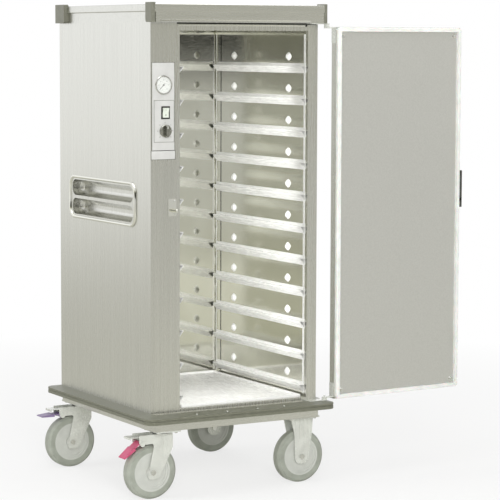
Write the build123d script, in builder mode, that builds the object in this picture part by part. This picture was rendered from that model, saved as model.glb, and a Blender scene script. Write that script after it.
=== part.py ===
from build123d import *
import os

os.makedirs("parts", exist_ok=True)

# Heated banquet trolley, in millimetres. Z is up, the door side faces -Y, and the
# origin is on the floor under the middle of the cabinet.

# Cabinet
body_width = 700.0
body_depth = 770.0
shell_height = 1417.0
sheet = 1.2
left_wall = 122.0
right_wall = 42.0
rear_wall = 56.0
opening_setback = 14.0
sill_height = 14.0
header_height = 28.0
fold = 12.0

# Chassis pan and bumper round it
pan_height = 61.0
pan_ledge = 27.0
pan_sheet = 2.0
pan_floor = 2.5
pan_corner = 12.0
pan_lip = 30.0
pan_front_lip = 62.0
bumper_reach = 49.0
bumper_face = 21.5
bumper_drop = 27.0
bumper_crown = 3.0
bumper_corner = 38.0
groove_depth = 2.5
groove_width = 4.0
groove_from_base = 11.0

# Castors
wheel_d = 200.0
tyre_width = 46.0
tyre_shoulder = 9.0
core_d = 145.0
hub_width = 52.0
hub_d = 46.0
core_dish = 4.0
core_rim = 7.0
core_step_d = 112.0
core_step = 1.5
axle_d = 12.0
axle_head_d = 19.0
axle_head = 5.0
castor_height = 255.0
plate_long = 135.0
plate_short = 100.0
plate_thick = 6.0
plate_hole_d = 11.0
plate_hole_edge = 15.0
plate_corner = 6.0
castor_inset_front = 44.0
castor_inset_rear = 38.0
swivel_inset = 63.0
swivel_trail = 47.0
fixed_inset = 51.0
fork_wall = 3.5
fork_front = 34.0
fork_head_height = 34.0
fork_crown = 6.0
fork_arm = 56.0
fork_brow = 17.0
fork_notch = 5.0
fork_toe_drop = 26.0
fork_toe_front = 25.4
fork_toe_back = 22.6
fork_rounds = (2.0, 2.0, 8.0, 14.0, 10.0, 8.0, 8.0)
fork_rib_inset = 26.0
fork_rib_pitch = 16.0
guard_reach = 48.0
guard_sheet = 2.0
guard_lip = 8.0
kingpin_d = 12.0
king_nut_d = 19.0
race_d = 72.0
race_height = 9.0
race_bevel = 4.0
race_taper = 2.0
fixed_fork_width = 95.0
fixed_toe_r = 28.0
fixed_shoulder = 60.0
fixed_front_draft = 4.0
fixed_rear_draft = 14.0
fixed_rounds = (2.0, 2.0, 20.0, 22.0, 22.0, 20.0)
fixed_border = 6.0
rib_count = 4
rib_pitch = 17.0
rib_width = 7.0
rib_rise = 1.5
rib_length = 74.0
rib_slope = 30.0
pedal_pivot_reach = 43.0
pedal_pivot_height = 208.0
pedal_pin_d = 8.0
pedal_boss_d = 20.0
pedal_boss = 1.75
pedal_length = 84.0
pedal_width = 44.0
pedal_plate = 4.0
pedal_cap_length = 52.0
pedal_cap_wall = 2.5
pedal_cap_round = 2.0
pedal_up = 4.0
pedal_travel = 35.0

# Container rails and the round stops over them
rail_levels = 11
rail_first = 46.0
rail_above = 130.2
rail_ledge = 19.0
rail_nose = 4.0
rail_drop = 27.0
rail_lip = 10.0
rail_sheet = 1.2
rail_front_gap = 1.0
rail_rear_gap = 17.0
stop_d = 32.0
stop_top_d = 16.0
stop_rise = 8.5
stop_above_ledge = 35.0
stop_from_front = 140.0
stop_from_back = 156.0
seam_width = 8.0
seam_rise = 0.8
seam_from_back = 50.0
cove_r = 12.0

# Recessed push grip in the left side panel
grip_length = 565.0
grip_height = 168.0
grip_corner = 42.0
grip_up = 755.0
grip_from_front = 397.0
grip_flange = 1.5
grip_sheet = 1.2
trough_length = 515.0
trough_height = 60.0
trough_depth = 46.0
trough_corner = 27.0
trough_round = 24.0
trough_bevel = 8.0
ridge_width = 12.0

# Top deck and its corner bumpers
deck_overhang = 43.0
deck_skirt = 37.0
rim_height = 28.0
rim_flare = 5.0
rim_round = 4.0
rim_chamfer = 1.2
corner_reach = 18.0
corner_rise = 6.0
corner_front_side = 49.0
corner_rear_side = 85.0
corner_round = 8.0
corner_front_lap = 6.0
corner_face = 1.0
corner_foot_r = 10.0
corner_chamfer = 1.5

# Control pillar, plate and instruments, from the cabinet's left edge
pillar_width = 106.0
control_plate_left = 6.0
control_plate_width = 89.0
control_plate_height = 313.5
control_plate_drop = 144.5
inset_left = 18.0
inset_up = 25.0
inset_height = 155.6
inset_rise = 0.8
dial_x = 51.4
dial_up = 233.6
dial_d = 69.0
dial_face_d = 59.0
dial_proud = 5.0
dial_can_d = 40.0
dial_can_depth = 24.0
dial_well = 3.6
dial_bevel = 1.5
glass_thick = 1.2
needle_length = 23.0
needle_tail = 8.0
needle_width = 2.4
needle_thick = 0.8
needle_hub_d = 7.0
needle_pin_d = 3.0
needle_rest = -135.0
switch_x = 59.0
switch_up = 135.0
switch_width = 34.0
switch_height = 46.0
switch_flange = 3.0
switch_bevel = 1.0
switch_border = 4.5
switch_depth = 22.0
rocker_tilt = 8.0
rocker_rise = 2.5
rocker_relief = 1.0
rocker_pin_d = 3.0
knob_x = 58.0
knob_up = 69.0
knob_d = 46.0
knob_skirt = 8.0
knob_bevel = 2.0
knob_bar = 14.0
knob_bar_width = 11.0
spindle_d = 6.0
thermostat_size = 44.0
thermostat_depth = 30.0
thermostat_corner = 4.0

# Door, its gasket, hinges and latch
door_x = 103.5
door_side_gap = 12.5
door_top_gap = 13.0
door_thick = 32.0
door_sheet = 1.2
door_gap = 12.5
door_floor_gap = 4.0
door_lip = 20.0
door_rest = 183.0
door_liner_inset = 17.0
door_liner_corner = 8.0
gasket_width = 15.5
gasket_inset = 1.0
gasket_clear = 0.5
gasket_corner = 14.0
gasket_inner_corner = 3.0
gasket_round = 4.0
hinge_reach = 22.5
hinge_setback = 7.0
hinge_pin_d = 8.0
hinge_eye_d = 21.0
hinge_arm = 5.0
hinge_arm_width = 15.0
hinge_leg = 3.0
hinge_leg_width = 24.0
hinge_leg_height = 60.0
hinge_plate = 3.0
hinge_plate_inner = 72.0
hinge_plate_width = 38.0
hinge_barrel = 15.0
hinge_collar = 5.0
door_edge_r = 2.5
latch_width = 21.5
latch_height = 143.0
latch_up = 705.0
latch_notch = 20.0
latch_bevel = 4.0
lever_width = 9.0
lever_thick = 6.0
lever_length = 64.0
lever_knob_d = 12.0
lever_knob_height = 12.0
lever_hub_d = 13.0
lever_pin_d = 6.0
lever_wall = 2.0
striker_width = 33.5
striker_above = 11.0
striker_corner = 3.0
striker_height = 63.0
striker_sheet = 2.0
stud_from_door = 10.5
stud_above = 31.0
stud_d = 12.0
stud_collar_d = 20.0
stud_collar = 3.0
stud_length = 28.0
stud_bevel = 1.5
stud_hole_d = 15.0
stud_hole_depth = 20.0

# Heater, insulation and power inlet, which the walls hide
heater_width = 10.0
heater_thick = 6.0
heater_inset = 10.0
heater_pitch = 130.0
heater_runs = 4
insulation_gap = 2.0
left_insulation = 52.0
instrument_bay = 60.0
inlet_bay = 20.0
inlet_size = 70.0
inlet_corner = 6.0
inlet_flange = 3.0
inlet_collar_d = 54.0
inlet_bore_d = 46.0
inlet_depth = 30.0
inlet_block_d = 40.0
inlet_block = 16.0
inlet_from_left = 110.0
inlet_up = 104.0
pin_d = 5.0
pin_length = 20.0
pin_circle_r = 11.0

# Clearances between pieces that move or slide in
running_fit = 0.05
face_clear = 0.3
plug_clear = 0.5

# Places that follow from the sizes above
left = -body_width / 2
right = body_width / 2
front = -body_depth / 2
rear = body_depth / 2
pan_front = front - pan_ledge
pan_top = castor_height + pan_height
shell_top = pan_top + shell_height
deck_top = shell_top + deck_skirt
cavity_x0 = left + left_wall
cavity_x1 = right - right_wall
cavity_width = cavity_x1 - cavity_x0
cavity_y0 = front + opening_setback
cavity_y1 = rear - rear_wall
sill_top = pan_top + sill_height
cavity_z0 = sill_top - sheet
cavity_z1 = shell_top - header_height
cavity_mid_x = (cavity_x0 + cavity_x1) / 2
rail_pitch = (cavity_z1 - cavity_z0 - rail_first - rail_above) / (rail_levels - 1)
rail_length = cavity_y1 - cavity_y0 - rail_front_gap - rail_rear_gap
control_plate_z = shell_top - control_plate_drop - control_plate_height
inset_z = control_plate_z + inset_up
dial_z = control_plate_z + dial_up
switch_z = control_plate_z + switch_up
knob_z = control_plate_z + knob_up
wheel_r = wheel_d / 2
plate_z = castor_height - plate_thick
hinge_px = right + hinge_reach
hinge_py = pan_front
heater_run = cavity_width - 2 * heater_inset - heater_pitch - heater_width
inlet_x = left + inlet_from_left
inlet_z = pan_top + inlet_up
grip_z = pan_top + grip_up
door_left = left + door_x
door_right = right - door_side_gap
door_width = door_right - door_left
door_back = front - door_gap - gasket_clear
door_front = door_back - door_thick
door_z0 = pan_top + door_floor_gap
door_z1 = shell_top - door_top_gap
door_height = door_z1 - door_z0
door_mid = (door_left + door_right) / 2
hinge_plate_y = hinge_py + hinge_setback
latch_z0 = door_z0 + latch_up
striker_z = latch_z0 + striker_above
stud_px = door_left - stud_from_door
stud_z = latch_z0 + stud_above
plate_end = hinge_px + hinge_eye_d / 2


def write(part, label):
    part.label = label
    export_step(part, f"parts/{label}.step")


def side_plane(x):
    """A plane across X: its first axis runs to the rear and its second one up."""
    return Plane(origin=(x, 0, 0), x_dir=(0, 1, 0), z_dir=(1, 0, 0))


def face_plane(y):
    """A plane across Y that looks to the front: first axis to the right, second one up."""
    return Plane(origin=(0, y, 0), x_dir=(1, 0, 0), z_dir=(0, -1, 0))


# Chassis pan: a folded tray with a closed floor and a lip that the shell stands on
with BuildPart() as base_pan:
    pan_mid_y = (pan_front + rear) / 2
    pan_depth = rear - pan_front
    with BuildSketch(Plane.XY.offset(castor_height)):
        with Locations((0, pan_mid_y)):
            RectangleRounded(body_width, pan_depth, pan_corner)
    extrude(amount=pan_height)
    with BuildSketch(Plane.XY.offset(castor_height + pan_floor)):
        with Locations((0, pan_mid_y)):
            RectangleRounded(body_width - 2 * pan_sheet, pan_depth - 2 * pan_sheet, pan_corner - pan_sheet)
    extrude(amount=pan_height - pan_floor - pan_sheet, mode=Mode.SUBTRACT)
    mouth_y0 = pan_front + pan_front_lip
    mouth_y1 = rear - pan_lip
    with BuildSketch(Plane.XY.offset(pan_top - pan_sheet)):
        with Locations((0, (mouth_y0 + mouth_y1) / 2)):
            Rectangle(body_width - 2 * pan_lip, mouth_y1 - mouth_y0)
    extrude(amount=pan_sheet, mode=Mode.SUBTRACT)
write(base_pan.part, "base_pan")

# Bumper: a moulded ring round the pan, with a sloping top and a groove in its face
bumper_z0 = pan_top - bumper_drop
bumper_width = body_width + 2 * bumper_reach
bumper_depth = pan_depth + 2 * bumper_reach
with BuildPart() as base_bumper:
    with BuildSketch(Plane.XY.offset(bumper_z0)):
        with Locations((0, pan_mid_y)):
            RectangleRounded(bumper_width, bumper_depth, bumper_corner)
    extrude(amount=bumper_face)
    with BuildSketch(Plane.XY.offset(bumper_z0 + bumper_face)):
        with Locations((0, pan_mid_y)):
            RectangleRounded(bumper_width, bumper_depth, bumper_corner)
    with BuildSketch(Plane.XY.offset(pan_top + bumper_crown)):
        with Locations((0, pan_mid_y)):
            RectangleRounded(body_width, pan_depth, pan_corner)
    loft(ruled=True)
    with BuildSketch(Plane.XY.offset(bumper_z0)):
        with Locations((0, pan_mid_y)):
            RectangleRounded(body_width, pan_depth, pan_corner)
    extrude(amount=bumper_drop + bumper_crown, mode=Mode.SUBTRACT)
    with BuildSketch(Plane.XY.offset(bumper_z0 + groove_from_base)):
        with Locations((0, pan_mid_y)):
            RectangleRounded(bumper_width, bumper_depth, bumper_corner)
            RectangleRounded(
                bumper_width - 2 * groove_depth, bumper_depth - 2 * groove_depth,
                bumper_corner - groove_depth, mode=Mode.SUBTRACT,
            )
    extrude(amount=groove_width, mode=Mode.SUBTRACT)
    # The shell's corners are square above the pan
    with BuildSketch(Plane.XY.offset(pan_top)):
        Rectangle(body_width, body_depth)
    extrude(amount=bumper_crown, mode=Mode.SUBTRACT)
    # Pocket under the lower hinge plate
    with BuildSketch(Plane.XY.offset(pan_top)):
        with Locations(((hinge_px - hinge_plate_inner + plate_end) / 2, hinge_plate_y)):
            Rectangle(plate_end - hinge_px + hinge_plate_inner, hinge_plate_width)
    extrude(amount=bumper_crown, mode=Mode.SUBTRACT)
write(base_bumper.part, "base_bumper")


def side_panel(face_x, inward):
    """One side sheet with a fold at each upright edge. inward is the way to the cavity."""
    with BuildPart() as panel:
        with BuildSketch(Plane.XY.offset(pan_top)):
            with BuildLine():
                Polyline(
                    (face_x, front + sheet),
                    (face_x + inward * fold, front + sheet),
                    (face_x + inward * fold, front + 2 * sheet),
                    (face_x + inward * sheet, front + 2 * sheet),
                    (face_x + inward * sheet, rear - 2 * sheet),
                    (face_x + inward * fold, rear - 2 * sheet),
                    (face_x + inward * fold, rear - sheet),
                    (face_x + inward * sheet, rear - sheet),
                    (face_x + inward * sheet, rear),
                    (face_x, rear),
                    close=True,
                )
            make_face()
        extrude(amount=shell_height)
    return panel.part


# Left side sheet, cut out for the push grip
grip_y = front + grip_from_front
with BuildPart() as side_panel_left:
    add(side_panel(left, 1))
    with BuildSketch(side_plane(left)):
        with Locations((grip_y, grip_z)):
            RectangleRounded(
                trough_length + 2 * (grip_sheet + face_clear),
                2 * trough_height + ridge_width + 2 * (grip_sheet + face_clear),
                trough_corner,
            )
    extrude(amount=sheet, mode=Mode.SUBTRACT)
write(side_panel_left.part, "side_panel_left")
write(side_panel(right, -1), "side_panel_right")

# Back sheet, with the hole for the power inlet
with BuildPart() as back_panel:
    with BuildSketch(face_plane(rear)):
        with Locations((0, pan_top + shell_height / 2)):
            Rectangle(body_width - 2 * sheet, shell_height)
        with Locations((inlet_x, inlet_z)):
            Circle(inlet_block_d / 2 + face_clear, mode=Mode.SUBTRACT)
    extrude(amount=sheet)
write(back_panel.part, "back_panel")

# Control pillar: the upright face left of the opening, with the instrument holes
control_x0 = left + control_plate_left
pillar_hole_width = control_plate_width - 2 * fold
pillar_hole_height = control_plate_height - 2 * fold
with BuildPart() as control_pillar:
    with BuildSketch(face_plane(front + sheet)):
        with Locations((left + pillar_width / 2, pan_top + shell_height / 2)):
            Rectangle(pillar_width, shell_height)
        with Locations((control_x0 + control_plate_width / 2, control_plate_z + control_plate_height / 2)):
            Rectangle(pillar_hole_width, pillar_hole_height, mode=Mode.SUBTRACT)
    extrude(amount=sheet)
write(control_pillar.part, "control_pillar")

# Door frame: the face round the opening, folded back to meet the liner
frame_x0 = left + pillar_width
opening_x0 = frame_x0 + fold
opening_mid_z = (sill_top + cavity_z1) / 2
opening_height = cavity_z1 - sill_top
with BuildPart() as door_frame:
    with BuildSketch(face_plane(front + sheet)):
        with Locations(((frame_x0 + right) / 2, pan_top + shell_height / 2)):
            Rectangle(right - frame_x0, shell_height)
        with Locations(((opening_x0 + cavity_x1) / 2, opening_mid_z)):
            Rectangle(cavity_x1 - opening_x0, opening_height, mode=Mode.SUBTRACT)
    extrude(amount=sheet)
    with BuildSketch(face_plane(cavity_y0)):
        with Locations(((opening_x0 + cavity_x1) / 2, opening_mid_z)):
            Rectangle(cavity_x1 - opening_x0 + 2 * sheet, opening_height + 2 * sheet)
            Rectangle(cavity_x1 - opening_x0, opening_height, mode=Mode.SUBTRACT)
        # Step that closes the rebate down to the liner's left wall
        with Locations(((opening_x0 + cavity_x0 - sheet) / 2, opening_mid_z)):
            Rectangle(cavity_x0 - sheet - opening_x0, opening_height)
    extrude(amount=sheet)
    with BuildSketch(face_plane(cavity_y0)):
        with Locations(((opening_x0 + cavity_x1) / 2, opening_mid_z)):
            Rectangle(cavity_x1 - opening_x0 + 2 * sheet, opening_height + 2 * sheet)
            Rectangle(cavity_x1 - opening_x0, opening_height, mode=Mode.SUBTRACT)
    extrude(amount=opening_setback - sheet)
write(door_frame.part, "door_frame")

# Cavity liner: two side walls, and one sheet folded as roof, back and floor
ledge_heights = [cavity_z0 + rail_first + level * rail_pitch for level in range(rail_levels)]
stop_ys = [front + stop_from_front, cavity_y1 - stop_from_back]
seam_y = cavity_y1 - seam_from_back


def liner_wall(face_x, inward):
    """A cavity wall with its raised upright seam near the back."""
    with BuildPart() as wall:
        with BuildSketch(side_plane(face_x)):
            with Locations(((cavity_y0 + cavity_y1 + sheet) / 2, (cavity_z0 + cavity_z1) / 2)):
                Rectangle(cavity_y1 + sheet - cavity_y0, cavity_z1 - cavity_z0 + 2 * sheet)
        extrude(amount=-inward * sheet)
        with BuildSketch(side_plane(face_x)):
            with Locations((seam_y, (cavity_z0 + cavity_z1) / 2)):
                Rectangle(seam_width, cavity_z1 - cavity_z0 - 2 * cove_r)
        extrude(amount=inward * seam_rise)
    return wall.part


write(liner_wall(cavity_x0, 1), "liner_left")
write(liner_wall(cavity_x1, -1), "liner_right")

# Tilt stops: round buttons over each rail that keep a drawn container level
with BuildPart() as tilt_stops:
    for face_x, inward in ((cavity_x0, 1), (cavity_x1, -1)):
        stop_x = face_x + inward * stop_rise / 2
        stop_places = [(stop_x, y, z + stop_above_ledge) for y in stop_ys for z in ledge_heights]
        with Locations(stop_places):
            Cone(stop_d / 2, stop_top_d / 2, stop_rise, rotation=(0, inward * 90, 0))
write(tilt_stops.part, "tilt_stops")

with BuildPart() as liner_wrap:
    with BuildSketch(side_plane(cavity_x0)):
        with BuildLine():
            FilletPolyline(
                (front + sheet, cavity_z0), (cavity_y1, cavity_z0),
                (cavity_y1, cavity_z1), (cavity_y0, cavity_z1),
                radius=cove_r,
            )
            offset(amount=sheet, side=Side.RIGHT)
        make_face()
    extrude(amount=cavity_width)
write(liner_wrap.part, "liner_wrap")


def rail_set(face_x, inward):
    """One container rail for each level: a bent ledge with an open three-sided section."""
    with BuildPart() as rails:
        for ledge_z in ledge_heights:
            section = Plane(
                origin=(face_x, cavity_y0 + rail_front_gap, ledge_z),
                x_dir=(inward, 0, 0), z_dir=(0, -inward, 0),
            )
            with BuildSketch(section):
                with BuildLine():
                    Polyline((0, 0), (rail_ledge, 0), (rail_ledge, -rail_nose), (0, -rail_drop), close=True)
                make_face()
                offset(amount=-rail_sheet, kind=Kind.INTERSECTION, mode=Mode.SUBTRACT)
                with Locations((rail_sheet / 2, rail_lip / 2)):
                    Rectangle(rail_sheet, rail_lip)
            extrude(amount=-inward * rail_length)
        with Locations((face_x + inward * seam_rise / 2, seam_y, (cavity_z0 + cavity_z1) / 2)):
            Box(seam_rise, seam_width, cavity_z1 - cavity_z0, mode=Mode.SUBTRACT)
    return rails.part


write(rail_set(cavity_x0, 1), "rails_left")
write(rail_set(cavity_x1, -1), "rails_right")


def trough():
    """The space of one push trough: a long bowl, open at the side panel's face."""
    with BuildPart() as bowl:
        with BuildSketch(side_plane(left)):
            RectangleRounded(trough_length, trough_height, trough_corner)
        extrude(amount=trough_depth)
        fillet(bowl.faces().sort_by(Axis.X)[-1].edges(), trough_round)
    return bowl.part


# Push grip: a polished pressing with two long troughs and a ridge to hold between them
trough_offset = (trough_height + ridge_width) / 2
with BuildPart() as grip_dish:
    with BuildSketch(side_plane(left)):
        with Locations((grip_y, grip_z)):
            RectangleRounded(grip_length, grip_height, grip_corner)
    extrude(amount=-grip_flange)
    trough_places = [(grip_y, grip_z + trough_offset), (grip_y, grip_z - trough_offset)]
    with BuildSketch(side_plane(left)):
        with Locations(trough_places):
            RectangleRounded(trough_length + 2 * grip_sheet, trough_height + 2 * grip_sheet, trough_corner)
    extrude(amount=trough_depth + grip_sheet)
    chamfer(grip_dish.faces().sort_by(Axis.X)[-2:].edges(), trough_bevel)
    with Locations([(0, y, z) for y, z in trough_places]):
        add(trough(), mode=Mode.SUBTRACT)
    with BuildSketch(side_plane(left)):
        with Locations(trough_places):
            RectangleRounded(trough_length, trough_height, trough_corner)
    extrude(amount=-grip_flange, mode=Mode.SUBTRACT)
write(grip_dish.part, "grip_dish")

# Top deck: a folded lid over the shell with a raised rim, and a band over the door
deck_front = front - deck_overhang
deck_mid_y = (deck_front + rear) / 2
deck_depth = rear - deck_front
with BuildPart() as top_deck:
    with BuildSketch(Plane.XY.offset(shell_top)):
        with Locations((0, deck_mid_y)):
            Rectangle(body_width, deck_depth)
    extrude(amount=deck_skirt)
    with BuildSketch(Plane.XY.offset(shell_top)):
        Rectangle(body_width - 2 * sheet, body_depth - 2 * sheet)
    extrude(amount=deck_skirt - sheet, mode=Mode.SUBTRACT)
    with BuildSketch(Plane.XY.offset(shell_top + sheet)):
        with Locations((0, deck_mid_y)):
            Rectangle(body_width - 2 * sheet, deck_depth - 2 * sheet)
    extrude(amount=deck_skirt - 2 * sheet, mode=Mode.SUBTRACT)
    with BuildSketch(Plane.XY.offset(deck_top)):
        with Locations((0, deck_mid_y + rim_flare / 2)):
            Rectangle(body_width + 2 * rim_flare, deck_depth + rim_flare)
        with Locations((0, deck_mid_y)):
            Rectangle(body_width - 2 * sheet, deck_depth - 2 * rim_flare, mode=Mode.SUBTRACT)
    extrude(amount=rim_height)
    side_edges = top_deck.edges().filter_by(Axis.Y).group_by(Axis.X)
    fillet(side_edges[0] + side_edges[-1], rim_round)
    chamfer(top_deck.edges().filter_by(Axis.X).group_by(Axis.Z)[-1], rim_chamfer)
write(top_deck.part, "top_deck")


def corner_bumpers(side_y0, side_y1, face_y):
    """A left and right pair of moulded posts that wrap the deck's corners."""
    with BuildPart() as pair:
        for way in (-1, 1):
            outer_x = way * (right + corner_reach)
            inner_x = way * (right + rim_flare - corner_front_lap)
            with BuildSketch(Plane.XY.offset(shell_top)):
                with Locations(((outer_x + inner_x) / 2, (side_y0 + side_y1) / 2)):
                    Rectangle(abs(outer_x - inner_x), side_y1 - side_y0)
            extrude(amount=deck_skirt + rim_height + corner_rise)
        fillet(pair.edges().filter_by(Axis.Z).group_by(Axis.Y)[face_y], corner_round)
        foot_edges = pair.edges().filter_by(Axis.X).group_by(Axis.Z)[0]
        fillet(foot_edges.group_by(Axis.Y)[-1 - face_y], corner_foot_r)
        chamfer(pair.faces().group_by(Axis.Z)[-1].edges(), corner_chamfer)
        with BuildSketch(Plane.XY.offset(shell_top)):
            with Locations((0, deck_mid_y)):
                Rectangle(body_width, deck_depth)
        extrude(amount=deck_skirt, mode=Mode.SUBTRACT)
        with BuildSketch(Plane.XY.offset(deck_top)):
            with Locations((0, deck_mid_y + rim_flare / 2)):
                Rectangle(body_width + 2 * rim_flare, deck_depth + rim_flare)
        extrude(amount=rim_height, mode=Mode.SUBTRACT)
    return pair.part


write(
    corner_bumpers(deck_front - corner_face, deck_front - corner_face + corner_front_side, 0),
    "corner_bumpers_front",
)
write(
    corner_bumpers(rear + rim_flare + corner_face - corner_rear_side, rear + rim_flare + corner_face, -1),
    "corner_bumpers_rear",
)

# Insulation slabs that fill the walls, the roof and the pan
slab_z0 = cavity_z0 - sheet
slab_z1 = cavity_z1 + sheet
left_slab_x1 = cavity_x0 - sheet - insulation_gap
left_slab_x0 = left_slab_x1 - left_insulation
right_slab_x0 = cavity_x1 + sheet + insulation_gap
right_slab_x1 = right - sheet - insulation_gap
slab_y0 = cavity_y0 + insulation_gap
slab_y1 = cavity_y1 + sheet
rear_slab_y1 = rear - 2 * sheet - insulation_gap
with BuildPart() as wall_insulation:
    left_slab_y0 = front + instrument_bay
    with Locations((
        (left_slab_x0 + left_slab_x1) / 2, (left_slab_y0 + slab_y1) / 2, (slab_z0 + slab_z1) / 2,
    )):
        Box(left_slab_x1 - left_slab_x0, slab_y1 - left_slab_y0, slab_z1 - slab_z0)
    with Locations(((right_slab_x0 + right_slab_x1) / 2, (slab_y0 + slab_y1) / 2, (slab_z0 + slab_z1) / 2)):
        Box(right_slab_x1 - right_slab_x0, slab_y1 - slab_y0, slab_z1 - slab_z0)
    rear_slab_y0 = slab_y1 + insulation_gap
    with Locations((
        (left_slab_x0 + right_slab_x1) / 2, (rear_slab_y0 + rear_slab_y1) / 2, (slab_z0 + slab_z1) / 2,
    )):
        Box(right_slab_x1 - left_slab_x0, rear_slab_y1 - rear_slab_y0, slab_z1 - slab_z0)
    # Bay behind the power inlet
    with Locations((inlet_x, rear_slab_y1 - inlet_bay / 2, inlet_z)):
        Box(inlet_size, inlet_bay, inlet_size, mode=Mode.SUBTRACT)
    roof_z0 = slab_z1 + insulation_gap
    roof_z1 = deck_top - sheet
    with Locations((0, 0, (roof_z0 + roof_z1) / 2)):
        Box(body_width - 4 * fold, body_depth - 4 * fold, roof_z1 - roof_z0)
    floor_z0 = castor_height + pan_floor
    floor_z1 = pan_top - pan_sheet
    with Locations((0, pan_mid_y, (floor_z0 + floor_z1) / 2)):
        Box(body_width - 2 * fold, pan_depth - 2 * fold, floor_z1 - floor_z0)
write(wall_insulation.part, "wall_insulation")

# Heating element: a flattened tube in a serpentine on the floor insulation
with BuildPart() as heater_element:
    with BuildLine(Plane.XY.offset(floor_z1)):
        for run in range(heater_runs):
            run_y = (run - (heater_runs - 1) / 2) * heater_pitch
            Line((cavity_mid_x - heater_run / 2, run_y), (cavity_mid_x + heater_run / 2, run_y))
        for turn in range(heater_runs - 1):
            turn_x = cavity_mid_x + (heater_run / 2 if turn % 2 == 0 else -heater_run / 2)
            turn_y = (turn - (heater_runs - 1) / 2) * heater_pitch
            sweep_angle = 180 if turn % 2 == 0 else -180
            CenterArc((turn_x, turn_y + heater_pitch / 2), heater_pitch / 2, -90, sweep_angle)
    with BuildSketch(Plane(
        origin=(cavity_mid_x - heater_run / 2, -(heater_runs - 1) / 2 * heater_pitch, floor_z1),
        x_dir=(0, 1, 0), z_dir=(1, 0, 0),
    )):
        with Locations((0, heater_thick / 2)):
            Rectangle(heater_width, heater_thick)
    sweep()
write(heater_element.part, "heater_element")

# Control plate with its raised inset, cut for the dial, the switch and the spindle
plate_y = front
dial_px = left + dial_x
switch_px = left + switch_x
knob_px = left + knob_x
switch_body_width = switch_width - 2 * switch_flange
switch_body_height = switch_height - 2 * switch_flange
with BuildPart() as control_plate:
    with BuildSketch(face_plane(plate_y)):
        with Locations((control_x0 + control_plate_width / 2, control_plate_z + control_plate_height / 2)):
            Rectangle(control_plate_width, control_plate_height)
    extrude(amount=sheet)
    with BuildSketch(face_plane(plate_y - sheet)):
        inset_width = control_plate_left + control_plate_width - inset_left
        with Locations((left + inset_left + inset_width / 2, inset_z + inset_height / 2)):
            Rectangle(inset_width, inset_height)
    extrude(amount=inset_rise)
    with BuildSketch(face_plane(plate_y)):
        with Locations((dial_px, dial_z)):
            Circle(dial_can_d / 2 + face_clear)
        with Locations((switch_px, switch_z)):
            Rectangle(switch_body_width + 2 * face_clear, switch_body_height + 2 * face_clear)
        with Locations((knob_px, knob_z)):
            Circle(spindle_d / 2 + plug_clear)
    extrude(amount=sheet + inset_rise, mode=Mode.SUBTRACT)
write(control_plate.part, "control_plate")

# Dial thermometer: bezel and can in one turned case, with the needle's pin in it
bezel_y = plate_y - sheet
face_y = bezel_y - dial_proud + dial_well
dial_axis = Axis((dial_px, 0, dial_z), (0, 1, 0))
with BuildPart() as thermometer_case:
    with BuildSketch(Plane(origin=(dial_px, 0, dial_z), x_dir=(1, 0, 0), z_dir=(0, 0, 1))):
        with BuildLine():
            Polyline(
                (0, face_y - dial_well + glass_thick + face_clear),
                (needle_pin_d / 2, face_y - dial_well + glass_thick + face_clear),
                (needle_pin_d / 2, face_y), (dial_face_d / 2, face_y),
                (dial_face_d / 2, bezel_y - dial_proud), (dial_d / 2 - dial_bevel, bezel_y - dial_proud),
                (dial_d / 2, bezel_y - dial_proud + dial_bevel), (dial_d / 2, bezel_y),
                (dial_can_d / 2, bezel_y), (dial_can_d / 2, bezel_y + dial_can_depth),
                (0, bezel_y + dial_can_depth),
                close=True,
            )
        make_face()
    revolve(axis=dial_axis)
write(thermometer_case.part, "thermometer_case")

with BuildPart() as thermometer_glass:
    with BuildSketch(face_plane(bezel_y - dial_proud + glass_thick)):
        with Locations((dial_px, dial_z)):
            Circle(dial_face_d / 2)
    extrude(amount=glass_thick)
write(thermometer_glass.part, "thermometer_glass")

with BuildPart() as thermometer_needle:
    needle_y = face_y - face_clear
    with BuildSketch(face_plane(needle_y)):
        with Locations((dial_px, dial_z)):
            Circle(needle_hub_d / 2)
        with BuildLine():
            Polyline(
                (dial_px - needle_width / 2, dial_z - needle_tail),
                (dial_px + needle_width / 2, dial_z - needle_tail),
                (dial_px + needle_width / 4, dial_z + needle_length),
                (dial_px - needle_width / 4, dial_z + needle_length),
                close=True,
            )
        make_face()
        with Locations((dial_px, dial_z)):
            Circle(needle_pin_d / 2 + running_fit, mode=Mode.SUBTRACT)
    extrude(amount=needle_thick)
# The needle rests at the cold end of its scale
write(thermometer_needle.part.rotate(dial_axis, needle_rest), "thermometer_needle")

# Power switch: a snap-in frame and a rocker on a pin across it
switch_y = plate_y - sheet - inset_rise
rocker_width = switch_width - 2 * switch_border
rocker_height = switch_height - 2 * switch_border
rocker_axis = Axis((switch_px, switch_y, switch_z), (1, 0, 0))
with BuildPart() as switch_frame:
    with BuildSketch(face_plane(switch_y)):
        with Locations((switch_px, switch_z)):
            Rectangle(switch_width, switch_height)
    extrude(amount=switch_flange)
    chamfer(switch_frame.faces().sort_by(Axis.Y)[0].edges(), switch_bevel)
    with BuildSketch(face_plane(switch_y + switch_depth)):
        with Locations((switch_px, switch_z)):
            Rectangle(switch_body_width, switch_body_height)
    extrude(amount=switch_depth)
    with BuildSketch(face_plane(switch_y + switch_depth - sheet)):
        with Locations((switch_px, switch_z)):
            Rectangle(rocker_width, rocker_height)
    extrude(amount=switch_depth - sheet + switch_flange, mode=Mode.SUBTRACT)
    with BuildSketch(side_plane(switch_px - rocker_width / 2)):
        with Locations((switch_y, switch_z)):
            Circle(rocker_pin_d / 2)
    extrude(amount=rocker_width)
write(switch_frame.part, "switch_frame")

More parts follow.
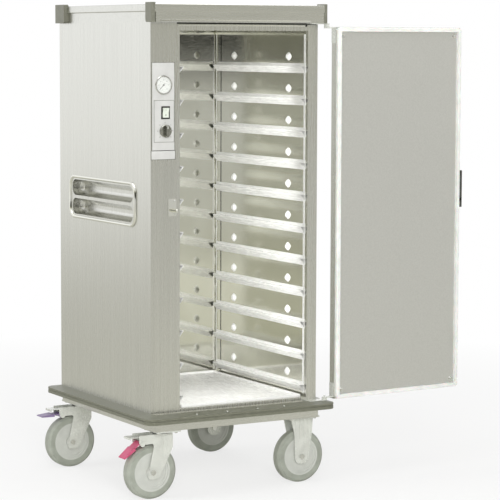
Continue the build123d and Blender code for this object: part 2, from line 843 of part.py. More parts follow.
with BuildPart() as switch_rocker:
    rocker_side = rocker_height / 2 - 2 * face_clear
    rocker_face = switch_flange + rocker_rise
    with BuildSketch(side_plane(switch_px - rocker_width / 2 + face_clear)):
        with BuildLine():
            Polyline(
                (switch_y - rocker_face, switch_z - rocker_side + rocker_relief),
                (switch_y - switch_flange + rocker_relief, switch_z),
                (switch_y - rocker_face, switch_z + rocker_side - rocker_relief),
                (switch_y + rocker_relief, switch_z + rocker_side),
                (switch_y + rocker_face, switch_z + rocker_pin_d),
                (switch_y + rocker_face, switch_z - rocker_pin_d),
                (switch_y + rocker_relief, switch_z - rocker_side),
                close=True,
            )
        make_face()
        with Locations((switch_y, switch_z)):
            Circle(rocker_pin_d / 2 + running_fit, mode=Mode.SUBTRACT)
    extrude(amount=rocker_width - 2 * face_clear)
# The switch rests tipped to one side
write(switch_rocker.part.rotate(rocker_axis, rocker_tilt), "switch_rocker")

# Thermostat behind the plate, with its spindle through it, and the knob on the spindle
with BuildPart() as thermostat_body:
    with BuildSketch(face_plane(plate_y + sheet + thermostat_depth)):
        with Locations((knob_px, knob_z)):
            RectangleRounded(thermostat_size, thermostat_size, thermostat_corner)
    extrude(amount=thermostat_depth)
    with BuildSketch(face_plane(plate_y + sheet)):
        with Locations((knob_px, knob_z)):
            Circle(spindle_d / 2)
    extrude(amount=2 * sheet + inset_rise + knob_skirt)
write(thermostat_body.part, "thermostat_body")

knob_y = switch_y - face_clear
with BuildPart() as thermostat_knob:
    with BuildSketch(face_plane(knob_y)):
        with Locations((knob_px, knob_z)):
            Circle(knob_d / 2)
    extrude(amount=knob_skirt)
    chamfer(thermostat_knob.faces().sort_by(Axis.Y)[0].edges(), knob_bevel)
    with BuildSketch(face_plane(knob_y - knob_skirt)):
        with Locations((knob_px, knob_z)):
            SlotOverall(knob_d - knob_skirt / 2, knob_bar_width, rotation=90)
    extrude(amount=knob_bar)
    with BuildSketch(face_plane(knob_y)):
        with Locations((knob_px, knob_z)):
            Circle(spindle_d / 2 + running_fit)
    extrude(amount=knob_skirt + plug_clear, mode=Mode.SUBTRACT)
write(thermostat_knob.part, "thermostat_knob")

# Latch striker: a plate on the pillar with a stud that the latch drops over
with BuildPart() as striker:
    with BuildSketch(face_plane(front)):
        with Locations((door_left - striker_width / 2, striker_z + striker_height / 2)):
            RectangleRounded(striker_width, striker_height, striker_corner)
    extrude(amount=striker_sheet)
    with BuildSketch(face_plane(front - striker_sheet)):
        with Locations((stud_px, stud_z)):
            Circle(stud_collar_d / 2)
    extrude(amount=stud_collar)
    with BuildSketch(face_plane(front - striker_sheet)):
        with Locations((stud_px, stud_z)):
            Circle(stud_d / 2)
    extrude(amount=stud_length)
    chamfer(striker.faces().sort_by(Axis.Y)[0].edges(), stud_bevel)
write(striker.part, "striker")

# Hinge plates that the cabinet carries: one under the deck, one on the pan's ledge
with BuildPart() as hinge_bracket_top:
    with BuildSketch(Plane.XY.offset(shell_top - hinge_plate)):
        with Locations(((hinge_px - hinge_plate_inner + hinge_px) / 2, hinge_plate_y)):
            Rectangle(hinge_plate_inner, hinge_plate_width)
        with Locations((hinge_px, hinge_py)):
            Circle(hinge_eye_d / 2)
    extrude(amount=hinge_plate)
    with BuildSketch(Plane.XY.offset(shell_top - hinge_plate)):
        with Locations((hinge_px, hinge_py)):
            Circle(hinge_pin_d / 2)
    extrude(amount=-hinge_barrel)
write(hinge_bracket_top.part, "hinge_bracket_top")

arm_low_z = pan_top + hinge_plate + hinge_collar
with BuildPart() as hinge_bracket_bottom:
    with BuildSketch(Plane.XY.offset(pan_top)):
        with Locations(((hinge_px - hinge_plate_inner + hinge_px) / 2, hinge_plate_y)):
            Rectangle(hinge_plate_inner, hinge_plate_width)
        with Locations((hinge_px, hinge_py)):
            Circle(hinge_eye_d / 2)
    extrude(amount=hinge_plate)
    with BuildSketch(Plane.XY.offset(pan_top + hinge_plate)):
        with Locations((hinge_px, hinge_py)):
            Circle(hinge_eye_d / 2 - hinge_plate / 2)
    extrude(amount=hinge_collar)
    with BuildSketch(Plane.XY.offset(arm_low_z)):
        with Locations((hinge_px, hinge_py)):
            Circle(hinge_pin_d / 2)
    extrude(amount=2 * hinge_arm)
write(hinge_bracket_bottom.part, "hinge_bracket_bottom")

# Power inlet on the back: a flange with a collar round three pins, and no lead in it
with BuildPart() as power_inlet:
    with BuildSketch(face_plane(rear + inlet_flange)):
        with Locations((inlet_x, inlet_z)):
            RectangleRounded(inlet_size, inlet_size, inlet_corner)
    extrude(amount=inlet_flange)
    with BuildSketch(face_plane(rear + inlet_flange + inlet_depth)):
        with Locations((inlet_x, inlet_z)):
            Circle(inlet_collar_d / 2)
            Circle(inlet_bore_d / 2, mode=Mode.SUBTRACT)
    extrude(amount=inlet_depth)
    with BuildSketch(face_plane(rear + inlet_flange + pin_length)):
        with Locations((inlet_x, inlet_z)):
            with PolarLocations(pin_circle_r, 3, start_angle=90):
                Circle(pin_d / 2)
    extrude(amount=pin_length)
    # The terminal block behind it, through the back sheet
    with BuildSketch(face_plane(rear)):
        with Locations((inlet_x, inlet_z)):
            Circle(inlet_block_d / 2)
    extrude(amount=inlet_block)
write(power_inlet.part, "power_inlet")

# Castors. Swivel castors stand on the left, fixed ones on the right.
castor_ys = {"front": front + castor_inset_front, "rear": rear - castor_inset_rear}
swivel_px = left + swivel_inset
swivel_wheel_x = swivel_px - swivel_trail
fixed_px = right - fixed_inset
fork_width = hub_width + 2 * (face_clear + fork_wall)
fork_top = plate_z - race_height - face_clear
hole_x = plate_short / 2 - plate_hole_edge
hole_y = plate_long / 2 - plate_hole_edge


def wheel_plane(x, y):
    """A plane through a wheel's middle, upright and square to its axle."""
    return Plane(origin=(x, y, 0), x_dir=(1, 0, 0), z_dir=(0, -1, 0))


def turned(x, y, points):
    """A body turned about a wheel's axle from points of radius and distance along it."""
    with BuildPart() as body:
        with BuildSketch(Plane(origin=(x, y, wheel_r), x_dir=(1, 0, 0), z_dir=(0, 0, 1))):
            with BuildLine():
                Polyline(*points, close=True)
            make_face()
        revolve(axis=Axis((x, y, wheel_r), (0, 1, 0)))
    return body.part


def tyre(x, y):
    """A rubber tread with sloped shoulders, bonded round the core."""
    half = tyre_width / 2
    return turned(x, y, (
        (core_d / 2, -half), (wheel_r - tyre_shoulder, -half), (wheel_r, -half + tyre_shoulder),
        (wheel_r, half - tyre_shoulder), (wheel_r - tyre_shoulder, half), (core_d / 2, half),
    ))


def wheel_core(x, y):
    """A moulded disc with a raised rim and hub."""
    half = tyre_width / 2
    web = half - core_dish
    bore = axle_d / 2 + running_fit
    rim_r = core_d / 2 - core_rim
    step_r = core_step_d / 2
    step = web + core_step
    return turned(x, y, (
        (bore, -hub_width / 2), (hub_d / 2, -hub_width / 2), (hub_d / 2, -web), (step_r, -web),
        (step_r, -step), (rim_r, -step), (rim_r, -half), (core_d / 2, -half),
        (core_d / 2, half), (rim_r, half), (rim_r, step), (step_r, step),
        (step_r, web), (hub_d / 2, web), (hub_d / 2, hub_width / 2), (bore, hub_width / 2),
    ))


def axle(x, y):
    """A through bolt with a low head at each end, outside the fork."""
    shaft = fork_width / 2
    end = shaft + axle_head
    return turned(x, y, (
        (0, -end), (axle_head_d / 2, -end), (axle_head_d / 2, -shaft), (axle_d / 2, -shaft),
        (axle_d / 2, shaft), (axle_head_d / 2, shaft), (axle_head_d / 2, end), (0, end),
    ))


def swivel_fork(y):
    """A pressed fork under the bearing, with an arm each side for the brake pedal."""
    head_x1 = swivel_px + fork_front
    arm_x0 = swivel_wheel_x - fork_arm
    head_z0 = fork_top - fork_head_height
    toe_z = wheel_r - fork_toe_drop
    pedal_x = swivel_px - pedal_pivot_reach - swivel_trail
    inner_width = fork_width - 2 * fork_wall
    with BuildPart() as fork:
        with BuildSketch(wheel_plane(0, y)):
            with BuildLine():
                FilletPolyline(
                    (arm_x0, fork_top), (head_x1, fork_top), (head_x1, head_z0 - fork_brow),
                    (swivel_wheel_x + fork_toe_front, toe_z), (swivel_wheel_x - fork_toe_back, toe_z),
                    (swivel_wheel_x + fork_notch, head_z0), (arm_x0, head_z0),
                    close=True, radius=fork_rounds,
                )
            make_face()
        extrude(amount=fork_width / 2, both=True)
        inner_x1 = head_x1 - fork_wall
        with Locations(((arm_x0 + inner_x1) / 2 - fork_arm, y, (fork_top - fork_crown) / 2)):
            Box(inner_x1 - arm_x0 + 2 * fork_arm, inner_width, fork_top - fork_crown, mode=Mode.SUBTRACT)
        # The crown stops behind the bearing, so the pedal has room between the arms
        crown_x0 = swivel_px - race_d / 2 - fork_wall
        with Locations(((arm_x0 + crown_x0) / 2 - fork_arm, y, fork_top)):
            Box(crown_x0 - arm_x0 + 2 * fork_arm, inner_width, 4 * fork_crown, mode=Mode.SUBTRACT)
        # A thin guard over the pedal, from the crown to past the arms, with its end turned down
        guard_x0 = pedal_x - guard_reach
        guard_x1 = crown_x0 + guard_sheet
        guard_z1 = fork_top - fork_crown
        with Locations(((guard_x0 + guard_x1) / 2, y, guard_z1 - guard_sheet / 2)):
            Box(guard_x1 - guard_x0, inner_width, guard_sheet)
        with Locations((guard_x0 + guard_sheet / 2, y, guard_z1 - guard_lip / 2)):
            Box(guard_sheet, inner_width, guard_lip)
        with BuildSketch(wheel_plane(0, y)):
            with Locations((swivel_wheel_x, wheel_r)):
                Circle(axle_d / 2)
        extrude(amount=fork_width / 2, both=True, mode=Mode.SUBTRACT)
        with BuildSketch(Plane.XY.offset(fork_top - fork_crown)):
            with Locations((swivel_px, y)):
                Circle(kingpin_d / 2 + running_fit)
        extrude(amount=fork_crown, mode=Mode.SUBTRACT)
        with BuildSketch(wheel_plane(0, y)):
            with Locations((pedal_x, pedal_pivot_height)):
                Circle(pedal_pin_d / 2)
        extrude(amount=fork_width / 2, both=True)
        for way in (-1, 1):
            with BuildSketch(wheel_plane(0, y + way * fork_width / 2)):
                with Locations((pedal_x, pedal_pivot_height)):
                    Circle(pedal_boss_d / 2)
            extrude(amount=-way * pedal_boss)
            with BuildSketch(wheel_plane(0, y + way * fork_width / 2)):
                rib_x = head_x1 - fork_rib_inset
                rib_z = fork_top - rib_width - rib_length / 2
                with Locations((rib_x, rib_z), (rib_x - fork_rib_pitch, rib_z)):
                    Rectangle(rib_width, rib_length)
            extrude(amount=-way * rib_rise, taper=rib_slope)
    return fork.part


def swivel_bearing(y):
    """Race, kingpin and its nut, turned about the swivel axis and fixed to the plate."""
    race_z0 = fork_top + face_clear
    nut_z1 = fork_top - fork_crown - face_clear
    with BuildPart() as bearing:
        with BuildSketch(Plane(origin=(swivel_px, y, 0), x_dir=(1, 0, 0), z_dir=(0, -1, 0))):
            with BuildLine():
                Polyline(
                    (0, plate_z), (race_d / 2 - race_bevel, plate_z), (race_d / 2, plate_z - race_height / 2),
                    (race_d / 2 - race_taper, race_z0), (kingpin_d / 2, race_z0), (kingpin_d / 2, nut_z1),
                    (king_nut_d / 2, nut_z1), (king_nut_d / 2, nut_z1 - fork_crown), (0, nut_z1 - fork_crown),
                    close=True,
                )
            make_face()
        revolve(axis=Axis((swivel_px, y, 0), (0, 0, 1)))
    return bearing.part


def fixed_outline():
    """The outline of a rigid fork's leg, seen along the axle."""
    top = fixed_fork_width / 2
    shoulder_z = plate_z - fixed_shoulder
    toe_z = wheel_r - fixed_toe_r
    with BuildSketch() as leg:
        with BuildLine():
            FilletPolyline(
                (-top, plate_z), (top, plate_z), (top - fixed_front_draft, shoulder_z), (fixed_toe_r, toe_z),
                (-fixed_toe_r, toe_z), (fixed_rear_draft - top, shoulder_z),
                close=True, radius=fixed_rounds,
            )
        make_face()
    return leg.sketch


def fixed_fork(y):
    """A pressed rigid fork with its top plate, a raised border and upright ribs in each leg."""
    with BuildPart() as fork:
        with BuildSketch(wheel_plane(fixed_px, y)):
            add(fixed_outline())
        extrude(amount=fork_width / 2, both=True)
        with Locations((fixed_px, y, (plate_z - fork_crown) / 2)):
            Box(2 * fixed_fork_width, fork_width - 2 * fork_wall, plate_z - fork_crown, mode=Mode.SUBTRACT)
        with BuildSketch(Plane.XY.offset(plate_z)):
            with Locations((fixed_px, y)):
                RectangleRounded(plate_long, plate_short, plate_corner)
                with GridLocations(2 * hole_y, 2 * hole_x, 2, 2):
                    Circle(plate_hole_d / 2, mode=Mode.SUBTRACT)
        extrude(amount=plate_thick)
        for way in (-1, 1):
            with BuildSketch(wheel_plane(fixed_px, y + way * fork_width / 2)):
                add(fixed_outline())
                offset(amount=-fixed_border, kind=Kind.INTERSECTION, mode=Mode.SUBTRACT)
            extrude(amount=-way * rib_rise)
            with BuildSketch(wheel_plane(fixed_px, y + way * fork_width / 2)):
                with Locations((0, plate_z - fork_crown - rib_length / 2)):
                    with GridLocations(rib_pitch, 1, rib_count, 1):
                        Rectangle(rib_width, rib_length)
            extrude(amount=-way * rib_rise, taper=rib_slope)
        with BuildSketch(wheel_plane(fixed_px, y)):
            with Locations((0, wheel_r)):
                Circle(axle_d / 2)
        extrude(amount=fork_width / 2 + rib_rise, both=True, mode=Mode.SUBTRACT)
    return fork.part


def brake_pedal(y, lift):
    """A pedal between the fork's arms with a wedge-shaped cap, at an angle above its lowest."""
    pivot_x = swivel_px - pedal_pivot_reach - swivel_trail
    pivot = Axis((pivot_x, y, pedal_pivot_height), (0, 1, 0))
    plane = wheel_plane(pivot_x, y)
    drop = pedal_up + pedal_travel - lift
    sheet_z0 = pedal_pivot_height + pedal_pin_d / 2
    sheet_z1 = sheet_z0 + pedal_plate
    tip_x = -pedal_length
    with BuildPart() as pedal:
        with BuildSketch(plane):
            with Locations((0, pedal_pivot_height)):
                Circle(pedal_pin_d / 2 + pedal_plate)
            with Locations((tip_x / 2, (sheet_z0 + sheet_z1) / 2)):
                Rectangle(pedal_length, pedal_plate)
            with Locations((0, pedal_pivot_height)):
                Circle(pedal_pin_d / 2 + running_fit, mode=Mode.SUBTRACT)
        extrude(amount=pedal_width / 2, both=True)
        with BuildSketch(plane):
            with BuildLine():
                FilletPolyline(
                    (tip_x - pedal_cap_wall, sheet_z0), (tip_x - pedal_cap_wall, sheet_z1),
                    (tip_x + pedal_cap_length, sheet_z1 + pedal_cap_wall),
                    (tip_x + pedal_cap_length, sheet_z0 - 2 * pedal_cap_wall),
                    close=True, radius=pedal_cap_round,
                )
            make_face()
        extrude(amount=pedal_width / 2 + pedal_cap_wall, both=True)
    return pedal.part.rotate(pivot, -drop)


with BuildPart() as castor_plates:
    for castor_y in castor_ys.values():
        with BuildSketch(Plane.XY.offset(plate_z)):
            with Locations((swivel_px, castor_y)):
                RectangleRounded(plate_short, plate_long, plate_corner)
                with GridLocations(2 * hole_x, 2 * hole_y, 2, 2):
                    Circle(plate_hole_d / 2, mode=Mode.SUBTRACT)
        extrude(amount=plate_thick)
write(castor_plates.part, "castor_plates")

with BuildPart() as swivel_bearings:
    for castor_y in castor_ys.values():
        add(swivel_bearing(castor_y))
write(swivel_bearings.part, "swivel_bearings")

for end, castor_y in castor_ys.items():
    write(swivel_fork(castor_y), f"fork_{end}_left")
    write(fixed_fork(castor_y), f"fork_{end}_right")
    for side, wheel_x in (("left", swivel_wheel_x), ("right", fixed_px)):
        write(tyre(wheel_x, castor_y), f"tyre_{end}_{side}")
        write(wheel_core(wheel_x, castor_y), f"wheel_core_{end}_{side}")
        write(axle(wheel_x, castor_y), f"axle_{end}_{side}")
    write(brake_pedal(castor_y, 0 if end == "front" else pedal_travel), f"brake_pedal_{end}_left")

# Door, built shut and then swung to the angle at which it rests
door_axis = Axis((hinge_px, hinge_py, 0), (0, 0, 1))
door_mid_z = (door_z0 + door_z1) / 2


def write_door(part, label):
    write(part.rotate(door_axis, door_rest), label)


with BuildPart() as door_skin:
    with BuildSketch(face_plane(door_back)):
        with Locations((door_mid, door_mid_z)):
            Rectangle(door_width, door_height)
    extrude(amount=door_thick)
    fillet(door_skin.faces().sort_by(Axis.Y)[0].edges(), door_edge_r)
    with BuildSketch(face_plane(door_back - door_sheet)):
        with Locations((door_mid, door_mid_z)):
            Rectangle(door_width - 2 * door_sheet, door_height - 2 * door_sheet)
    extrude(amount=door_thick - 2 * door_sheet, mode=Mode.SUBTRACT)
    with BuildSketch(face_plane(door_back)):
        with Locations((door_mid, door_mid_z)):
            Rectangle(door_width - 2 * door_lip, door_height - 2 * door_lip)
    extrude(amount=door_sheet, mode=Mode.SUBTRACT)
write_door(door_skin.part, "door_skin")

with BuildPart() as door_liner:
    with BuildSketch(face_plane(door_back + door_sheet)):
        with Locations((door_mid, door_mid_z)):
            RectangleRounded(
                door_width - 2 * door_liner_inset, door_height - 2 * door_liner_inset, door_liner_corner,
            )
    extrude(amount=door_sheet)
write_door(door_liner.part, "door_liner")

with BuildPart() as door_insulation:
    with Locations((door_mid, (door_front + door_back) / 2, door_mid_z)):
        Box(door_width - 4 * door_edge_r, door_thick - 2 * door_sheet, door_height - 4 * door_edge_r)
write_door(door_insulation.part, "door_insulation")

with BuildPart() as door_gasket:
    gasket_out_w = door_width - 2 * gasket_inset
    gasket_out_h = door_height - 2 * gasket_inset
    with BuildSketch(face_plane(door_back + door_gap)):
        with Locations((door_mid, door_mid_z)):
            RectangleRounded(gasket_out_w, gasket_out_h, gasket_corner)
            RectangleRounded(
                gasket_out_w - 2 * gasket_width, gasket_out_h - 2 * gasket_width, gasket_inner_corner,
                mode=Mode.SUBTRACT,
            )
    extrude(amount=door_gap)
    fillet(door_gasket.faces().sort_by(Axis.Y)[-1].outer_wire().edges(), gasket_round)
write_door(door_gasket.part, "door_gasket")


def hinge_leaf(arm_z, barrel_z0, barrel_z1, leg_z0, leg_z1):
    """A door hinge leaf: a leg on the door's edge, an arm, and the eye round the pin."""
    leg_mid_y = (door_front + door_back) / 2
    with BuildPart() as leaf:
        with Locations((door_right + hinge_leg / 2, leg_mid_y, (leg_z0 + leg_z1) / 2)):
            Box(hinge_leg, hinge_leg_width, leg_z1 - leg_z0)
        with BuildSketch(Plane.XY.offset(arm_z)):
            with Locations(((door_right + hinge_px) / 2, (leg_mid_y + hinge_py) / 2)):
                Rectangle(hinge_px - door_right, hinge_arm_width)
        extrude(amount=hinge_arm)
        with BuildSketch(Plane.XY.offset(barrel_z0)):
            with Locations((hinge_px, hinge_py)):
                Circle(hinge_eye_d / 2)
        extrude(amount=barrel_z1 - barrel_z0)
        with BuildSketch(Plane.XY.offset(barrel_z0)):
            with Locations((hinge_px, hinge_py)):
                Circle(hinge_pin_d / 2 + running_fit)
        extrude(amount=barrel_z1 - barrel_z0, mode=Mode.SUBTRACT)
    return leaf.part


top_barrel_z1 = shell_top - hinge_plate - face_clear
top_barrel_z0 = top_barrel_z1 - hinge_barrel
low_arm_z = arm_low_z + face_clear
write_door(
    hinge_leaf(top_barrel_z0, top_barrel_z0, top_barrel_z1, door_z1 - hinge_leg_height, door_z1),
    "door_hinge_top",
)
write_door(
    hinge_leaf(
        low_arm_z, low_arm_z, low_arm_z + hinge_arm, door_z0 + hinge_collar, door_z0 + hinge_leg_height,
    ),
    "door_hinge_bottom",
)

# Latch: a moulded body on the door's free edge, hollow where the stud enters, and its lever
latch_x0 = door_left - latch_width
lever_x1 = door_left - lever_wall
lever_x0 = lever_x1 - lever_width
latch_z1 = latch_z0 + latch_height
lever_pivot_z = latch_z1 - latch_notch / 2
lever_pivot_y = (door_front + door_back) / 2
with BuildPart() as latch_body:
    with BuildSketch(face_plane(door_back)):
        with Locations(((latch_x0 + door_left) / 2, (latch_z0 + latch_z1) / 2)):
            Rectangle(latch_width, latch_height)
    extrude(amount=door_thick)
    chamfer(latch_body.faces().sort_by(Axis.X)[0].edges(), latch_bevel)
    with Locations(((lever_x0 + lever_x1) / 2, lever_pivot_y, latch_z1 - latch_notch / 2)):
        Box(lever_width + 2 * face_clear, 2 * door_thick, latch_notch, mode=Mode.SUBTRACT)
    with BuildSketch(side_plane(lever_x0 - 2 * face_clear)):
        with Locations((lever_pivot_y, lever_pivot_z)):
            Circle(lever_pin_d / 2)
    extrude(amount=lever_width + 4 * face_clear)
    with BuildSketch(face_plane(door_back)):
        with Locations((stud_px, stud_z)):
            Circle(stud_hole_d / 2)
    extrude(amount=stud_hole_depth, mode=Mode.SUBTRACT)
write_door(latch_body.part, "latch_body")

with BuildPart() as latch_lever:
    with BuildSketch(side_plane(lever_x0)):
        with Locations((lever_pivot_y, lever_pivot_z)):
            Circle(lever_hub_d / 2)
        with Locations((lever_pivot_y, lever_pivot_z + lever_length / 2)):
            Rectangle(lever_thick, lever_length)
        with Locations((lever_pivot_y, lever_pivot_z)):
            Circle(lever_pin_d / 2 + running_fit, mode=Mode.SUBTRACT)
    extrude(amount=lever_width)
    with BuildSketch(Plane.XY.offset(lever_pivot_z + lever_length - lever_knob_height)):
        with Locations(((lever_x0 + lever_x1) / 2, lever_pivot_y)):
            Circle(lever_knob_d / 2)
    extrude(amount=lever_knob_height)
write_door(latch_lever.part, "latch_lever")
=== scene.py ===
"""Finishes, small fittings, studio and camera for the heated banquet trolley."""

import math

import bpy
import bmesh
from mathutils import Matrix, Vector
from mathutils.bvhtree import BVHTree


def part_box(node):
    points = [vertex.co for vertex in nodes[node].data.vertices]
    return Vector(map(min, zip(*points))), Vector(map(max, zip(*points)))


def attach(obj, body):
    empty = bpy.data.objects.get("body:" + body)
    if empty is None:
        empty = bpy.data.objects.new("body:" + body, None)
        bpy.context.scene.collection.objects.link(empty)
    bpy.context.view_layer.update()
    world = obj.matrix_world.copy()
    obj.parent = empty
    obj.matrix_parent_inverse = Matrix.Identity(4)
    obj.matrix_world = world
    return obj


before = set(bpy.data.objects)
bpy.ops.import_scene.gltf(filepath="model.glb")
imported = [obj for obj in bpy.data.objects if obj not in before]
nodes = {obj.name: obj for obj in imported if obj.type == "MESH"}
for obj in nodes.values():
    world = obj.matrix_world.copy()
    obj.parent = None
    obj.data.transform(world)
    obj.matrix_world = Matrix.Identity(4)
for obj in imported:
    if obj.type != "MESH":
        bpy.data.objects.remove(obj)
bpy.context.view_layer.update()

# A millimetre in Blender's metres. Sizes are in millimetres, apart from the studio's and the camera's
MM = 0.001


# Colour, nodes and finishes


def linear(hex_colour):
    """An sRGB hex colour as the linear RGBA that Blender's sockets take."""
    rgb = [int(hex_colour[i:i + 2], 16) / 255 for i in (1, 3, 5)]
    return [c / 12.92 if c <= 0.04045 else ((c + 0.055) / 1.055) ** 2.4 for c in rgb] + [1.0]


def add(tree, kind, sockets=None, **settings):
    """A new node. Settings are its properties. Sockets are its inputs' values, or outputs that feed them."""
    node = tree.nodes.new(kind)
    for name, value in settings.items():
        setattr(node, name, value)
    for name, value in (sockets or {}).items():
        if isinstance(value, bpy.types.NodeSocket):
            tree.links.new(value, node.inputs[name])
        else:
            node.inputs[name].default_value = value
    return node


def grain(tree, size_mm, detail):
    """Noise whose grains are size_mm long along each axis of the piece."""
    here = add(tree, "ShaderNodeTexCoord").outputs["Object"]
    scale = [1 / (size * MM) for size in size_mm]
    where = add(tree, "ShaderNodeMapping", {"Vector": here, "Scale": scale}).outputs["Vector"]
    return add(tree, "ShaderNodeTexNoise", {"Vector": where, "Scale": 1.0, "Detail": detail}).outputs["Fac"]


# The middle stretch of the noise, which nearly all of its values lie in
NOISE_LOW = 0.3
NOISE_HIGH = 0.7
CLOUD_DETAIL = 2.0


def finish(name, dark, light, smooth, rough, cloud_mm, wear_mm,
           relief_mm=None, depth_mm=0.0, detail=3.0, **shader):
    """A surface named for its finish.

    Its colour drifts from dark to light over cloud_mm, and its roughness from smooth to rough over wear_mm.
    Its relief has grains of relief_mm that stand depth_mm high.
    """
    material = bpy.data.materials.new(name)
    material.use_nodes = True
    tree = material.node_tree
    surface = tree.nodes["Principled BSDF"]
    for socket, value in shader.items():
        surface.inputs[socket.replace("_", " ")].default_value = value
    noise = {"From Min": NOISE_LOW, "From Max": NOISE_HIGH}
    cloud = add(tree, "ShaderNodeMapRange", {"Value": grain(tree, cloud_mm, CLOUD_DETAIL), **noise})
    colour = add(tree, "ShaderNodeValToRGB", {"Fac": cloud.outputs["Result"]})
    colour.color_ramp.elements[0].color = linear(dark)
    colour.color_ramp.elements[1].color = linear(light)
    tree.links.new(colour.outputs["Color"], surface.inputs["Base Color"])
    sockets = {"Value": grain(tree, wear_mm, detail), **noise, "To Min": smooth, "To Max": rough}
    tree.links.new(add(tree, "ShaderNodeMapRange", sockets).outputs["Result"], surface.inputs["Roughness"])
    if relief_mm:
        height = grain(tree, relief_mm, detail)
        bump = add(tree, "ShaderNodeBump", {"Height": height, "Strength": 1.0, "Distance": depth_mm * MM})
        tree.links.new(bump.outputs["Normal"], surface.inputs["Normal"])
    return material


def even(size_mm):
    """The same grain along all three axes."""
    return [size_mm] * 3


def belt_ground_stainless(name, grain_axis):
    """Stainless sheet, belt ground with 240 grit: long parallel scratches that blur reflections across them.

    The real scratches are under 0.1 mm wide. They are drawn 1.6 mm wide, so that they show from a step away.
    """
    scratch = even(1.6)
    scratch[grain_axis] = 90.0
    streak = even(9.0)
    streak[grain_axis] = 700.0
    return finish(name, "#D4D4CF", "#DADAD5", 0.24, 0.29, streak, scratch,
                  scratch, 0.002, 3.0, Metallic=1.0)


def bright_annealed_stainless():
    """Stainless sheet, rolled bright and left bare: near mirror, with faint waves left in it by folding."""
    return finish("bright_annealed_stainless", "#E4E4DB", "#ECECE5", 0.05, 0.10, even(300.0),
                  [18.0, 18.0, 3.0], [110.0, 110.0, 170.0], 0.06, 2.0, Metallic=1.0)


def stucco_stainless():
    """Stainless sheet embossed between rolls: a leathery grain of 3 mm cells that breaks up reflections."""
    return finish("stucco_embossed_stainless", "#CFCFCC", "#D6D6D3", 0.34, 0.42, even(6.0), even(6.0),
                  even(3.0), 0.05, Metallic=0.8)


def mill_aluminium():
    """Extruded aluminium, mill finish: pale satin, with draw lines along the bar.

    The real lines are a few tenths of a millimetre apart. They are drawn 1.5 mm apart, so that they show.
    """
    draw_line = [1.5, 60.0, 1.5]
    return finish("mill_finish_aluminium", "#F2F2EF", "#F8F8F6", 0.22, 0.32, even(60.0), draw_line,
                  draw_line, 0.01, Metallic=0.08)


def zinc_plated_steel():
    """Pressed steel, zinc plated and passivated: pale grey with a crystal sparkle, dulled by handling.

    The real crystals are far under a millimetre. They are drawn 1.8 mm wide, so that they show.
    """
    return finish("zinc_plated_steel", "#D6D8D2", "#E4E6E0", 0.20, 0.34, even(40.0), even(1.8),
                  even(1.8), 0.02, Metallic=0.4)


def bright_zinc():
    """Turned screws and axle heads, bright zinc plated: harder and shinier than the pressed parts."""
    return finish("bright_zinc_plate", "#D2D3D0", "#E6E7E4", 0.14, 0.24, even(8.0), even(2.0), Metallic=1.0)


def extruded_pvc():
    """Grey-green PVC, extruded: satin, with faint draw lines and scuffs where doors and walls are met."""
    scuff = [22.0, 22.0, 3.0]
    return finish("extruded_olive_pvc", "#656657", "#797A6B", 0.28, 0.44, scuff, scuff, even(1.2), 0.02, 4.0)


def silicone_rubber():
    """Food-grade silicone, extruded: white with a soft sheen and a little light through its lips."""
    return finish("white_silicone", "#E4E5E0", "#F2F3EF", 0.36, 0.5, even(40.0), [14.0, 14.0, 40.0],
                  Subsurface_Weight=0.15, Subsurface_Scale=2.0 * MM)


def moulded_rubber():
    """Grey non-marking rubber, moulded: matt with a little bloom, darker where it has rolled."""
    return finish("grey_moulded_rubber", "#979B90", "#A6AA9F", 0.46, 0.60, even(30.0), even(16.0),
                  even(0.9), 0.03)


def moulded(name, dark, light, smooth):
    """Plastic, injection moulded against a fine spark-eroded skin: a soft waxy sheen.

    The real skin has pits of about 0.1 mm. They are drawn 0.7 mm wide, so that they soften the shine.
    """
    return finish(name, dark, light, smooth, smooth + 0.12, even(35.0), even(0.7), even(0.7), 0.015)


def mineral_wool():
    """Pressed mineral wool slab: fibrous, dull and straw coloured."""
    fibre = [12.0, 2.0, 1.2]
    return finish("mineral_wool", "#A89C6C", "#D8CEA2", 0.9, 1.0, fibre, fibre, fibre, 0.8, 5.0)


def heated_steel():
    """Sheathed heating element: stainless tube flattened, and tinted straw and blue by heat."""
    return finish("heat_tinted_stainless", "#6E6A70", "#9A8A6C", 0.28, 0.42, even(30.0), even(30.0),
                  Metallic=1.0)


def lacquered_plate(name, dark, light):
    """Aluminium front plate, matt lacquered: flat, even and nearly white beside the steel."""
    return finish(name, dark, light, 0.34, 0.44, even(40.0), even(0.9), even(0.9), 0.006, Metallic=0.1)


def turned_chrome(name, dark, light, smooth):
    """Chrome plate over turned brass: mirror with faint lathe rings."""
    rings = [6.0, 0.6, 6.0]
    return finish(name, dark, light, smooth, smooth + 0.1, even(20.0), rings, rings, 0.008, 2.0, Metallic=1.0)


def enamel(name, dark, light):
    """Stoved enamel on steel: even colour with a soft gloss."""
    return finish(name, dark, light, 0.28, 0.36, even(20.0), even(20.0))


def float_glass():
    """Glass disc over the dial: clear, with a faint bloom of finger marks."""
    return finish("clear_float_glass", "#F2F8F4", "#FFFFFF", 0.02, 0.06, even(30.0), even(9.0), Alpha=0.12)


# The axes that the belt grinder ran along
ACROSS = 0
UPRIGHT = 2

